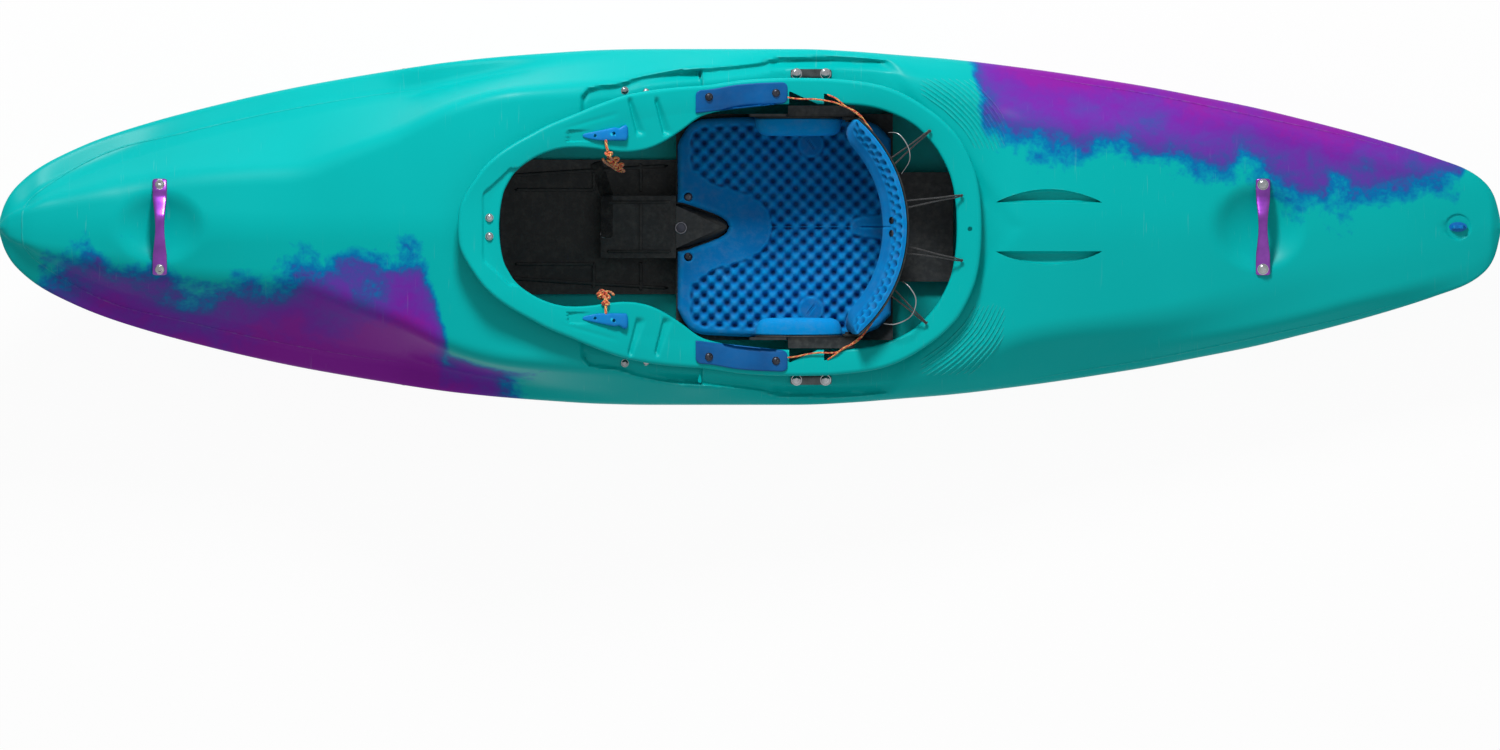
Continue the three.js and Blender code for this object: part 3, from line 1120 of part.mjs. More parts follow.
// Shock cords from the backband up and over into holes in the back of the rim
const SHOCK_STEPS = 10;
const SHOCK_BAND_Z = 286;
const SHOCK_RISE = 20;
const shockPathShares = [[0.25, 0.95], [0.6, 1], [0.9, 0.65]];
const shockShares = [
  ["starboard_outer", 0.9, 0.643, 27], ["starboard_inner", 0.9605, 0.21, 9],
  ["port_inner", 0.9605, -0.224, -9], ["port_outer", 0.893, -0.643, -27],
];
const shockHoles = [];
shockShares.forEach(([name, along, out, degrees]) => {
  const [x, y] = [cockpitX(along), (out * COCKPIT_WIDTH) / 2];
  const turn = THREE.MathUtils.degToRad(degrees);
  const start = BAND_RADIUS + CORD_RADIUS + GAP;
  const middle = bandMiddle(SHOCK_BAND_Z);
  const band = [middle + start * Math.cos(turn), start * Math.sin(turn), SHOCK_BAND_Z];
  const top = rimHeight(x);
  const over = shockPathShares.map(([t, up]) => {
    return [band[0] + (x - band[0]) * t, band[1] + (y - band[1]) * t, top + SHOCK_RISE * up];
  });
  const route = [band, ...over, [x, y, top + CORD_RADIUS], [x, y, top - LIP / 2]];
  add(`shock_cord_${name}`, cord(route, SHOCK_STEPS), blackCord);
  shockHoles.push(rod(CORD_RADIUS + RUN, top - LIP * 2, top + LIP, BOLT_SIDES).translate(x, y, 0));
});

// The drain plug in its recess near the stern
const DRAIN_share = 0.972;
const DRAIN_SHANK = 7;
const DRAIN_SHANK_LENGTH = 14;
const DRAIN_LENGTH = 33;
const DRAIN_WIDTH = 18;
const DRAIN_BASE = 4;
const DRAIN_HEIGHT = 11;
const DRAIN_GRIP_THICK = 6;
const DRAIN_SINK = 3;
const DRAIN_CORNERS = 16;
const drainX = xAt(DRAIN_share);
const drainZ = line.deck(DRAIN_share) * HEIGHT - DRAIN_SINK;
const oval = (length, width) => [...Array(DRAIN_CORNERS).keys()].map((i) => {
  const turn = (2 * Math.PI * i) / DRAIN_CORNERS;
  return [drainX + (length / 2) * Math.cos(turn), (width / 2) * Math.sin(turn)];
});
const drainSeat = drainZ + SEAT_GAP;
const drainPlug = join(
  slab(oval(DRAIN_LENGTH, DRAIN_WIDTH), "z", drainSeat, drainSeat + DRAIN_BASE),
  rod(DRAIN_SHANK, -DRAIN_SHANK_LENGTH, DRAIN_BASE / 2, DRAIN_CORNERS).translate(drainX, 0, drainSeat),
  block(
    drainX - DRAIN_LENGTH / 3, drainX + DRAIN_LENGTH / 3, -DRAIN_GRIP_THICK / 2,
    DRAIN_GRIP_THICK / 2, drainSeat, drainZ + DRAIN_SINK + DRAIN_HEIGHT,
  ),
);
add("drain_plug", drainPlug, bluePlastic);
const drainRoom = [
  slab(oval(DRAIN_LENGTH + WALL, DRAIN_WIDTH + WALL), "z", drainZ, HEIGHT),
  rod(DRAIN_SHANK + RUN, -OVERRUN / 2, OVERRUN, DRAIN_CORNERS).translate(drainX, 0, drainZ),
];

// The shell: the outer form less its hollows and holes, with the rim on it
let shell = cut(outerForm, ...wells(0), ...pockets(0), ...SIDES.map(([, side]) => grip(side)));
shell = cut(shell, cut(hollow, ...wells(WALL), ...pockets(WALL)), cockpitHole);
shell = cut(join(shell, coaming), rimStep, ...notches, ...shockHoles, ...drainRoom, ...boltHoles);
add("hull_shell", shell, shellPlastic);

export default kayak;
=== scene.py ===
# %% [markdown]
# # A whitewater kayak
#
# The kayak is one moulded shell with its outfitting bolted in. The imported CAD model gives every
# place and size, and this script gives the pieces their rounded shapes and their finishes. All is
# in metres: the bow points to -X, the paddler's right is +Y, and +Z is up.

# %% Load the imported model
import json
import math

import bmesh
import bpy
import numpy as np
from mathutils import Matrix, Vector
from mathutils.bvhtree import BVHTree

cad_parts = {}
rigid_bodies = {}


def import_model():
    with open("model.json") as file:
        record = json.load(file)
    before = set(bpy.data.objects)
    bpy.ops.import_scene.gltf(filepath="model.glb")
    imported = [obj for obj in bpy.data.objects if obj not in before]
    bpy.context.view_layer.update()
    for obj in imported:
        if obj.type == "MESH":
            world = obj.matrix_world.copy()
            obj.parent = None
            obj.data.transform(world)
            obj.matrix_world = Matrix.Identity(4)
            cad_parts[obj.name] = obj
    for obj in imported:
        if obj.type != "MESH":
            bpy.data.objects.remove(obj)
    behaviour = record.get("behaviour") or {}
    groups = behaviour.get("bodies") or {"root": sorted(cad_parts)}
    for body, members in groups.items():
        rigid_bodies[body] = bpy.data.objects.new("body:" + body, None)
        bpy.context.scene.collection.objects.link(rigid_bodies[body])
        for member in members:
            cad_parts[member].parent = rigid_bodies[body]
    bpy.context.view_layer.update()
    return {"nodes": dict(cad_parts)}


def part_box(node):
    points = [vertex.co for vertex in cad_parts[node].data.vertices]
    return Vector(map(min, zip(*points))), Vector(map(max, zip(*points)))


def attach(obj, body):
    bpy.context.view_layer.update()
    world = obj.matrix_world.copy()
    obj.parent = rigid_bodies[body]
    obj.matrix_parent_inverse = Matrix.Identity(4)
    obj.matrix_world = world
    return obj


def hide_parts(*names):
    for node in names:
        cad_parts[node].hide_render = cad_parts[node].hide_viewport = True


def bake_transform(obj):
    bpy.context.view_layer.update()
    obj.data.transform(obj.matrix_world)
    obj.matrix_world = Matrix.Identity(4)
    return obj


bpy.context.scene.view_settings.view_transform = "Standard"

for old in list(bpy.data.objects):
    bpy.data.objects.remove(old)
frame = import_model()

# %% [markdown]
# ## The view
#
# The photograph looks straight down with no perspective, so the camera is orthographic, and its
# scale is the kayak's length. It stands a little to port, where the picture's lower half lies.

# %% The camera
LENGTH = 2.745
VIEW_SHIFT, VIEW_HEIGHT = -0.271, 5


def placed(name, data):
    piece = bpy.data.objects.new(name, data)
    bpy.context.collection.objects.link(piece)
    return piece


camera_data = bpy.data.cameras.new("deck_view")
camera_data.type = "ORTHO"
camera_data.ortho_scale = LENGTH
camera_data.clip_end = 50
camera = placed("deck_view", camera_data)
camera.location = (0, VIEW_SHIFT, VIEW_HEIGHT)
bpy.context.scene.camera = camera
print("camera over", tuple(round(v, 3) for v in camera.location))

# %% [markdown]
# ## Light and floor
#
# A soft light from the paddler's right throws the cockpit's near side into shade. The floor shows
# white to the camera and to polished metal, because its shader looks at the kind of ray. A part
# of it stays plain paint, so that the kayak's shadow still falls on it.

# %% Helpers for node trees
def linear(red, green, blue):
    parts = [v / 255 for v in (red, green, blue)]
    return tuple(v / 12.92 if v <= 0.04045 else ((v + 0.055) / 1.055) ** 2.4 for v in parts) + (1,)


def put(socket, value):
    if isinstance(value, bpy.types.NodeSocket):
        socket.id_data.links.new(value, socket)
    else:
        socket.default_value = value


def node(tree, kind, inputs=(), **settings):
    made = tree.nodes.new(kind)
    for name, value in settings.items():
        setattr(made, name, value)
    for name, value in dict(inputs).items():
        put(made.inputs[name], value)
    return made


def tree_of(*values):
    return next(v.id_data for v in values if isinstance(v, bpy.types.NodeSocket))


def maths(operation, *values):
    made = node(tree_of(*values), "ShaderNodeMath", operation=operation)
    for socket, value in zip(made.inputs, values):
        put(socket, value)
    return made.outputs[0]


def mixed(factor, a, b, blend="MIX"):
    return node(tree_of(factor, a, b), "ShaderNodeMix", {0: factor, 6: a, 7: b},
                data_type="RGBA", blend_type=blend).outputs[2]


def between(value, low, high, to_low=0.0, to_high=1.0):
    return node(value.id_data, "ShaderNodeMapRange", {
        "Value": value, "From Min": low, "From Max": high, "To Min": to_low,
        "To Max": to_high}).outputs["Result"]


def noise(place, scale, detail, **more):
    return node(place.id_data, "ShaderNodeTexNoise", {
        "Vector": place, "Scale": scale, "Detail": detail, **more}).outputs["Fac"]


def camera_sees(tree):
    path = node(tree, "ShaderNodeLightPath")
    rays = [path.outputs[f"Is {kind} Ray"] for kind in ("Camera", "Glossy", "Transmission")]
    return maths("MAXIMUM", maths("MAXIMUM", rays[0], rays[1]), rays[2])


# %% The world, the lamps and the floor
world = bpy.data.worlds.new("studio")
bpy.context.scene.world = world
world.use_nodes = True
sky = world.node_tree
sky.nodes.clear()
glow = node(sky, "ShaderNodeBackground", {
    "Color": (1, 1, 1, 1), "Strength": between(camera_sees(sky), 0, 1, 0.36, 1.0)})
node(sky, "ShaderNodeOutputWorld", {"Surface": glow.outputs[0]})
LAMP_TARGET = (0, 0, 0.2)
for lamp_name, spot, size, power in (
    ("window", (-0.3, 2.7, 2.45), 0.75, 108), ("fill", (1.2, -1.6, 3.0), 3.0, 7),
):
    lamp_data = bpy.data.lights.new(lamp_name, "AREA")
    lamp_data.shape = "SQUARE"
    lamp_data.size = size
    lamp_data.energy = power
    lamp = placed(lamp_name, lamp_data)
    lamp.location = spot
    lamp.rotation_euler = (Vector(LAMP_TARGET) - Vector(spot)).to_track_quat("-Z", "Y").to_euler()

floor_mesh = bpy.data.meshes.new("studio_floor")
reach, below = 20, -0.0004
floor_mesh.from_pydata([(x * reach, y * reach, below) for x, y in (
    (-1, -1), (1, -1), (1, 1), (-1, 1))], [], [(0, 1, 2, 3)])
studio_floor = placed("studio_floor", floor_mesh)
floor_paint = bpy.data.materials.new("floor_paint")
floor_paint.use_nodes = True
tree = floor_paint.node_tree
tree.nodes.clear()
matt = node(tree, "ShaderNodeBsdfDiffuse", {"Color": (0.93, 0.93, 0.93, 1)})
white = node(tree, "ShaderNodeEmission", {"Color": (1, 1, 1, 1), "Strength": 1.0})
seen = maths("MULTIPLY", camera_sees(tree), 0.95)
both = node(tree, "ShaderNodeMixShader", {0: seen, 1: matt.outputs[0], 2: white.outputs[0]})
node(tree, "ShaderNodeOutputMaterial", {"Surface": both.outputs[0]})
floor_mesh.materials.append(floor_paint)
print("floor and", len(bpy.data.lights), "lamps")

# %% [markdown]
# ## Helpers for meshes
#
# Most pieces are rings of points that wrap into a closed skin. Its faces have to point outwards,
# and the sign of its volume tells whether they do.


# %% Rings of points become a closed mesh
def grid_faces(rows, columns, wrap_rows=False, wrap_columns=True):
    r = np.arange(rows if wrap_rows else rows - 1)
    c = np.arange(columns if wrap_columns else columns - 1)
    r, c = (a.ravel() for a in np.meshgrid(r, c, indexing="ij"))
    r2, c2 = (r + 1) % rows, (c + 1) % columns
    return np.stack([r * columns + c, r * columns + c2, r2 * columns + c2, r2 * columns + c], 1)


def skin(name, points, faces, smooth=True):
    mesh = bpy.data.meshes.new(name)
    mesh.from_pydata(np.asarray(points, float).tolist(), [], list(faces))
    mesh.validate()
    mesh.update()
    if smooth:
        mesh.shade_smooth()
    return placed(name, mesh)


def volume(points, faces):
    corners = [f[:3] for f in faces] + [[f[0], f[2], f[3]] for f in faces if len(f) == 4]
    corners += [[f[0], f[k], f[k + 1]] for f in faces if len(f) > 4 for k in range(2, len(f) - 1)]
    a, b, c = np.asarray(points, float)[np.array(corners).T]
    return float(np.einsum("ij,ij->", a, np.cross(b, c))) / 6


def ringed(name, rings, loop=False, smooth=True):
    rings = np.asarray(rings, float)
    rows, columns = rings.shape[:2]
    points, faces = rings.reshape(-1, 3), grid_faces(rows, columns, wrap_rows=loop).tolist()
    if not loop:
        faces.append(list(range(columns))[::-1])
        faces.append([(rows - 1) * columns + k for k in range(columns)])
    if volume(points, faces) < 0:
        faces = [face[::-1] for face in faces]
    return skin(name, points, faces, smooth)


def stacked(*parts):
    return np.column_stack(np.broadcast_arrays(*parts))


def circle(x, y, radius, count=24):
    return [(x + radius * math.cos(a), y + radius * math.sin(a))
            for a in np.arange(count) * math.tau / count]


def prism(name, outline, levels, smooth=True):
    return ringed(name, [[(x, y, z) for x, y in outline] for z in levels], smooth=smooth)


def crosswise(name, outline, levels, smooth=True):
    return ringed(name, [[(x, y, z) for x, z in outline] for y in levels], smooth=smooth)


# %% Applying modifiers
def applied(piece):
    graph = bpy.context.evaluated_depsgraph_get()
    mesh = bpy.data.meshes.new_from_object(piece.evaluated_get(graph), depsgraph=graph)
    old = piece.data
    piece.modifiers.clear()
    piece.data = mesh
    mesh.name = piece.name
    bpy.data.meshes.remove(old)
    return piece


def carved(piece, tools, operation="DIFFERENCE"):
    for tool in tools:
        cut = piece.modifiers.new("cut", "BOOLEAN")
        cut.object = tool
        cut.operation = operation
        cut.solver = "MANIFOLD"
    bpy.context.view_layer.update()
    applied(piece)
    for tool in tools:
        bpy.data.meshes.remove(tool.data)
    return piece


def creased(piece, degrees=35):
    piece.data.shade_smooth()
    piece.data.set_sharp_from_angle(angle=math.radians(degrees))
    return piece


def joined(piece, others):
    maker = bmesh.new()
    maker.from_mesh(piece.data)
    for other in others:
        maker.from_mesh(other.data)
        bpy.data.meshes.remove(other.data)
    maker.to_mesh(piece.data)
    maker.free()
    return piece


def beveled(piece, width, segments=3, degrees=30):
    bevel = piece.modifiers.new("round", "BEVEL")
    bevel.width = width
    bevel.segments = segments
    bevel.limit_method = "ANGLE"
    bevel.angle_limit = math.radians(degrees)
    bpy.context.view_layer.update()
    return applied(piece)


# %% [markdown]
# ## Shared effects
#
# Plastic has a fine grain, everything outdoors gathers dust and scratches, and edges wear first.
# Each effect is a node group with its own inputs, built once, that gives out only masks and
# heights. The shaders stay in the materials.


# %% Node groups
def group(name, inputs, outputs, kind="ShaderNodeTree"):
    made = bpy.data.node_groups.new(name, kind)
    for label, socket_type, value in inputs:
        socket = made.interface.new_socket(label, in_out="INPUT", socket_type=socket_type)
        if value is not None:
            socket.default_value = value
    for label, socket_type in outputs:
        made.interface.new_socket(label, in_out="OUTPUT", socket_type=socket_type)
    return made, made.nodes.new("NodeGroupInput"), made.nodes.new("NodeGroupOutput")


def node_with(tree, made, inputs):
    here = tree.nodes.new("ShaderNodeGroup")
    here.node_tree = made
    for name, value in inputs.items():
        put(here.inputs[name], value)
    return here


def effect(name, amount):
    inputs = [("Place", VECTOR, None), ("Amount", FLOAT, amount)]
    made, start, end = group(name, inputs, [("Mask", FLOAT)])
    return made, start.outputs["Place"], start.outputs["Amount"], end.inputs["Mask"]


def masked(made, place, amount):
    return node_with(place.id_data, made, {"Place": place, "Amount": amount}).outputs["Mask"]


FLOAT, VECTOR, GEOMETRY = "NodeSocketFloat", "NodeSocketVector", "NodeSocketGeometry"

grain, start, end = group(
    "grain", [("Place", VECTOR, None), ("Size", FLOAT, 900.0), ("Blotch", FLOAT, 14.0)],
    [("Height", FLOAT), ("Blotches", FLOAT)])
pebbles = node(grain, "ShaderNodeTexVoronoi", {
    "Vector": start.outputs["Place"], "Scale": start.outputs["Size"]}, feature="SMOOTH_F1")
put(end.inputs["Height"], pebbles.outputs["Distance"])
put(end.inputs["Blotches"], noise(start.outputs["Place"], start.outputs["Blotch"], 5.0))

scratches, place, amount, mask = effect("scratches", 0.5)
masks = []
for turn, stretch in ((0.5, 14.0), (-0.9, 20.0), (1.9, 11.0)):
    turned = node(scratches, "ShaderNodeMapping", {
        "Vector": place, "Rotation": (0.2, turn, turn),
        "Scale": (stretch * 16, stretch, stretch * 0.7)})
    thin = noise(turned.outputs[0], 1.0, 2.0, Distortion=0.3)
    masks.append(between(thin, 0.7, 0.76))
all_masks = maths("MAXIMUM", maths("MAXIMUM", masks[0], masks[1]), masks[2])
where = maths("MULTIPLY", all_masks, between(noise(place, 5.0, 3.0), 0.42, 0.62))
put(mask, maths("MULTIPLY", where, amount))

dust, place, amount, mask = effect("dust", 0.4)
normal = node(dust, "ShaderNodeNewGeometry")
upward = node(dust, "ShaderNodeSeparateXYZ", {0: normal.outputs["Normal"]})
specks = between(noise(place, 60.0, 8.0, Roughness=0.7), 0.45, 0.75)
lies = maths("MULTIPLY", between(upward.outputs[2], 0.3, 1.0), specks)
put(mask, maths("MULTIPLY", lies, amount))

edge_wear, place, amount, mask = effect("edge_wear", 0.5)
shape = node(edge_wear, "ShaderNodeNewGeometry")
worn = maths("ADD", shape.outputs["Pointiness"], maths("MULTIPLY", noise(place, 120.0, 4.0), 0.08))
put(mask, maths("MULTIPLY", between(worn, 0.58, 0.66), amount))
print("node groups:", [g.name for g in bpy.data.node_groups])

# %% [markdown]
# ## Plastics and metals
#
# A helper starts each material with a Principled BSDF and the object's own coordinates, so the
# grain has the same size on every piece. Colours are given as they look, and turned to linear
# light here.


# %% Start a finish
def finish(name, **numbers):
    material = bpy.data.materials.new(name)
    material.use_nodes = True
    tree = material.node_tree
    tree.nodes.clear()
    shader = node(tree, "ShaderNodeBsdfPrincipled")
    node(tree, "ShaderNodeOutputMaterial", {"Surface": shader.outputs[0]})
    for socket, value in numbers.items():
        shader.inputs[socket.replace("_", " ")].default_value = value
    return material, tree, shader, node(tree, "ShaderNodeTexCoord").outputs["Object"]


def bumped(shader, height, strength, distance):
    bump = node(height.id_data, "ShaderNodeBump", {
        "Height": height, "Strength": strength, "Distance": distance})
    put(shader.inputs["Normal"], bump.outputs[0])


def moulded(name, color, lighter, roughness, size=900.0, wear=0.25, dusty=0.15, relief=0.00012):
    material, tree, shader, place = finish(name, Specular_IOR_Level=0.18)
    skin_grain = node_with(tree, grain, {"Place": place, "Size": size})
    mottle = between(skin_grain.outputs["Blotches"], 0.3, 0.7)
    base = mixed(mottle, linear(*color), linear(*lighter))
    rubbed = masked(edge_wear, place, wear)
    base = mixed(rubbed, base, linear(*[min(255, c * 1.5 + 40) for c in lighter]))
    specks = masked(dust, place, dusty)
    base = mixed(specks, base, linear(150, 146, 138))
    put(shader.inputs["Base Color"], base)
    lines = masked(scratches, place, 0.5)
    rough = maths("ADD", between(mottle, 0, 1, roughness - 0.06, roughness + 0.08),
                  maths("MULTIPLY", lines, 0.2))
    put(shader.inputs["Roughness"], rough)
    height = maths("SUBTRACT", skin_grain.outputs["Height"], maths("MULTIPLY", lines, 0.6))
    bumped(shader, height, 0.35, relief)
    return material


black_plastic = moulded("black_plastic", (24, 26, 27), (40, 43, 45), 0.46)
blue_plastic = moulded("blue_plastic", (0, 104, 184), (0, 134, 210), 0.34, 1400.0, 0.5, 0.05)
flap_strap = moulded("strap_webbing", (20, 21, 23), (34, 36, 38), 0.75, 1700.0, 0.1, 0.2, 0.0003)
flap_plastic = moulded("flap_plastic", (0, 76, 136), (0, 100, 168), 0.44, 1300.0, 0.25, 0.03)


# %% Metals
def metal(name, color, lighter, roughness, streak, wear=0.3, coat=0.0):
    material, tree, shader, place = finish(
        name, Metallic=1.0, Coat_Weight=coat, Coat_Roughness=0.2)
    drawn = node(tree, "ShaderNodeMapping", {"Vector": place, "Scale": streak})
    fibres = noise(drawn.outputs[0], 1.0, 6.0, Roughness=0.65)
    cloud = between(noise(place, 30.0, 3.0), 0.35, 0.65)
    base = mixed(cloud, linear(*color), linear(*lighter))
    rubbed = masked(edge_wear, place, wear)
    put(shader.inputs["Base Color"], mixed(rubbed, base, linear(214, 212, 216)))
    lines = masked(scratches, place, 0.7)
    rough = between(fibres, 0.3, 0.7, roughness - 0.07, roughness + 0.09)
    put(shader.inputs["Roughness"], maths("ADD", rough, maths("MULTIPLY", lines, 0.15)))
    bumped(shader, fibres, 0.18, 0.00006)
    return material


purple_metal = metal("purple_metal", (92, 26, 124), (118, 46, 148), 0.34, (700, 60, 700), 0.3, 0.7)
steel = metal("polished_steel", (118, 121, 124), (152, 155, 158), 0.2, (90, 1100, 900))
plate_steel = metal("brushed_plate", (58, 63, 64), (78, 84, 85), 0.3, (90, 1100, 900))
black_steel = metal("black_steel", (38, 40, 46), (58, 60, 68), 0.34, (500, 500, 500), 0.35)
print("finishes so far:", [m.name for m in bpy.data.materials])

# %% [markdown]
# ## Foams
#
# Closed-cell foam is matt, with a fine open skin. Its colour has painted shade in the hollows,
# which are darker, and a painted highlight on the crests, which are paler. Pointiness, which
# Cycles reads from the mesh, gives both from the shape itself.


# %% Foam finishes
# deep is the colour of the painted shade in the hollows; crest is the colour of the painted
# highlight on the crests, and it also tints the random pale blotches.
def foam(name, deep, color, crest, cell=1500.0, relief=0.00016):
    material, tree, shader, place = finish(
        name, Sheen_Weight=0.03, Sheen_Roughness=0.5, Specular_IOR_Level=0.08)
    cells = node_with(tree, grain, {"Place": place, "Size": cell, "Blotch": 22.0})
    shape = node(tree, "ShaderNodeNewGeometry").outputs["Pointiness"]
    # Painted shade: where pointiness is low, in the hollows, the colour is darkened towards deep.
    body = mixed(between(shape, 0.44, 0.5), linear(*deep), linear(*color))
    # Painted highlight: where pointiness is high, on the crests, the colour is lightened towards
    # crest.
    body = mixed(between(shape, 0.5, 0.57), body, linear(*crest))
    pale = mixed(0.5, body, linear(*crest))
    body = mixed(between(cells.outputs["Blotches"], 0.35, 0.75, 0, 0.5), body, pale)
    specks = masked(dust, place, 0.12)
    put(shader.inputs["Base Color"], mixed(specks, body, linear(150, 150, 150)))
    put(shader.inputs["Roughness"], between(cells.outputs["Blotches"], 0.3, 0.7, 0.62, 0.82))
    bumped(shader, cells.outputs["Height"], 0.5, relief)
    return material


# Each foam gets its painted hollow shade colour, its own colour and its painted crest highlight
# colour.
blue_foam = foam("blue_foam", (0, 52, 108), (0, 116, 188), (0, 156, 228))
hip_foam = foam("hip_foam", (0, 116, 190), (0, 148, 226), (10, 164, 236))
grey_foam = foam("grey_foam", (58, 60, 63), (84, 87, 90), (104, 106, 108), 420.0, 0.0005)
print("finishes so far:", len(bpy.data.materials))

# %% [markdown]
# ## Cord covers
#
# A cord's braided cover is two sets of strands that cross. The cord's UV map runs round it and
# along it in metres, so two sets of slanted stripes follow it through every bend. The grooves
# between the strands are darkened with painted shade.


# %% Cord finishes
def braid(name, main, fleck, third, strands=8.0, pitch=0.007):
    material, tree, shader, place = finish(name, Sheen_Weight=0.3)
    uv = node(tree, "ShaderNodeSeparateXYZ", {0: node(
        tree, "ShaderNodeUVMap", uv_map="along").outputs[0]})
    around, along = uv.outputs[0], maths("DIVIDE", uv.outputs[1], pitch)
    waves = []
    for way in (1, -1):
        turn = maths("ADD", maths("MULTIPLY", around, strands * 0.5 * way), along)
        waves.append(maths("SINE", maths("MULTIPLY", turn, math.tau)))
    over = maths("MAXIMUM", waves[0], waves[1])
    turn = maths("ADD", maths("MULTIPLY", around, 2.0), maths("MULTIPLY", along, 0.5))
    flecks = maths("SINE", maths("MULTIPLY", turn, math.tau))
    base = mixed(between(flecks, 0.35, 0.55), linear(*main), linear(*fleck))
    base = mixed(between(noise(place, 220.0, 2.0), 0.56, 0.6), base, linear(*third))
    # Painted shade: where the strands dip into the grooves between them, the colour is darkened
    # towards near black.
    groove = between(over, -0.2, 0.7)
    base = mixed(groove, mixed(0.55, base, (0.01, 0.006, 0.005, 1)), base)
    put(shader.inputs["Base Color"], base)
    put(shader.inputs["Roughness"], between(over, -1, 1, 0.85, 0.6))
    bumped(shader, over, 0.6, 0.0004)
    return material


orange_cord = braid("orange_cord", (250, 112, 62), (255, 214, 120), (196, 40, 44))
black_cord = braid("black_cord", (34, 35, 37), (56, 58, 62), (20, 20, 21), 6.0, 0.003)
grey_wire = metal("grey_wire", (118, 120, 122), (160, 162, 164), 0.3, (300, 300, 300))
print("finishes so far:", len(bpy.data.materials))

# %% [markdown]
# ## The shell's colour
#
# The shell is moulded from coloured powder, so teal runs into blue and purple along ragged
# borders. Two curves give the borders as a distance across the boat, noise makes them ragged, and
# one colour ramp turns the distance from a border into a colour.

# %% Borders between the colours
BOW_BORDER = [
    (-1.3725, -0.4), (-1.32, -0.17), (-1.29, -0.102), (-1.252, -0.084), (-1.19, -0.079),
    (-1.098, -0.0915), (-1.006, -0.134), (-0.952, -0.143), (-0.897, -0.106), (-0.823, -0.088),
    (-0.769, -0.106), (-0.619, -0.07), (-0.6, -0.09), (-0.575, -0.14), (-0.556, -0.25),
    (-0.52, -0.45), (1.3725, -0.5),
]
STERN_BORDER = [
    (-1.3725, 0.5), (0.36, 0.48), (0.412, 0.302), (0.43, 0.223), (0.476, 0.1775), (0.549, 0.15),
    (0.686, 0.159), (0.787, 0.141), (0.897, 0.132), (0.933, 0.104), (1.0065, 0.071),
    (1.08, 0.068), (1.153, 0.0805), (1.263, 0.093), (1.299, 0.1135), (1.33, 0.2), (1.3725, 0.4),
]
WATER = [
    (-0.05, (0, 182, 180)), (-0.03, (0, 150, 184)), (-0.012, (0, 112, 178)),
    (0.006, (66, 76, 164)), (0.03, (98, 58, 168)), (0.07, (118, 40, 168)), (0.11, (138, 30, 160)),
]


def border(along, points):
    line = node(along.id_data, "ShaderNodeFloatCurve", {"Value": along})
    curve = line.mapping.curves[0]
    spots = [((x + LENGTH / 2) / LENGTH, y + 0.5) for x, y in points]
    for spot in spots[2:]:
        curve.points.new(*spot)
    for point, spot in zip(curve.points, spots):
        point.location = spot
        point.handle_type = "VECTOR"
    line.mapping.update()
    return maths("SUBTRACT", line.outputs[0], 0.5)


def shell_finish():
    material, tree, shader, place = finish(
        "shell_plastic", Coat_Roughness=0.25, Coat_Weight=0.02, Specular_IOR_Level=0.07)
    x, y, z = node(tree, "ShaderNodeSeparateXYZ", {0: place}).outputs
    along = between(x, -LENGTH / 2, LENGTH / 2)
    bow = maths("SUBTRACT", border(along, BOW_BORDER), y)
    low = maths("SUBTRACT", maths("ADD", maths("MULTIPLY", z, 0.163), -0.475), x)
    beside = maths("MINIMUM", maths("SUBTRACT", -0.24, y), maths("SUBTRACT", 0.315, z))
    bow = maths("MAXIMUM", bow, maths("MINIMUM", low, maths("MULTIPLY", beside, 2.0)))
    stern = maths("SUBTRACT", y, border(along, STERN_BORDER))
    wide = noise(place, 13.0, 4.0, Roughness=0.6, Distortion=0.25)
    fine = noise(place, 85.0, 7.0, Roughness=0.72, Distortion=0.4)
    ragged = maths("ADD", between(wide, 0.3, 0.7, -0.04, 0.04),
                   between(fine, 0.3, 0.7, -0.013, 0.013))
    field = maths("ADD", maths("MAXIMUM", bow, stern), ragged)
    ramp = node(tree, "ShaderNodeValToRGB", {"Fac": between(field, -0.1, 0.15)})
    stops = ramp.color_ramp.elements
    for distance, color in WATER:
        share = (distance + 0.1) / 0.25
        stop = stops[0] if distance == WATER[0][0] else stops.new(share)
        stop.position, stop.color = share, linear(*color)
    stops.remove(stops[-1])
    cloud = between(noise(place, 3.0, 6.0), 0.35, 0.65)
    tint = mixed(cloud, (0.92, 0.95, 0.95, 1), (1, 1, 1, 1))
    base = mixed(1.0, ramp.outputs["Color"], tint, "MULTIPLY")
    rubbed = masked(edge_wear, place, 0.22)
    base = mixed(rubbed, base, linear(150, 214, 212))
    lines = masked(scratches, place, 0.5)
    base = mixed(maths("MULTIPLY", lines, 0.12), base, linear(190, 220, 220))
    put(shader.inputs["Base Color"], base)
    skin_grain = node_with(tree, grain, {"Place": place, "Size": 420.0, "Blotch": 7.0})
    rough = between(skin_grain.outputs["Blotches"], 0.3, 0.7, 0.3, 0.4)
    put(shader.inputs["Roughness"], maths("ADD", rough, maths("MULTIPLY", lines, 0.1)))
    bumped(shader, skin_grain.outputs["Height"], 0.12, 0.0003)
    return material


shell_plastic = shell_finish()
print("shell finish with", len(shell_plastic.node_tree.nodes), "nodes")


# %% Dress a piece
SIDES = (("starboard", 1), ("port", -1))


def dressed(piece, material, body, slot, *nodes):
    piece.data.materials.clear()
    piece.data.materials.append(material)
    if nodes:
        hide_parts(*nodes)
    if body:
        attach(piece, body)
    return piece


# %% [markdown]
# ## Cords
#
# A cord is a round tube along a smooth line through given points. Each ring is turned as
# little as possible from the ring before it, so the braid doesn't twist by itself.


# %% A tube along a smooth line
def gaps(points):
    return np.linalg.norm(np.diff(points, axis=0), axis=1)


def run_of(points):
    return np.concatenate([[0], np.cumsum(gaps(points))])


def units_of(vectors):
    return vectors / np.linalg.norm(vectors, axis=1)[:, None]


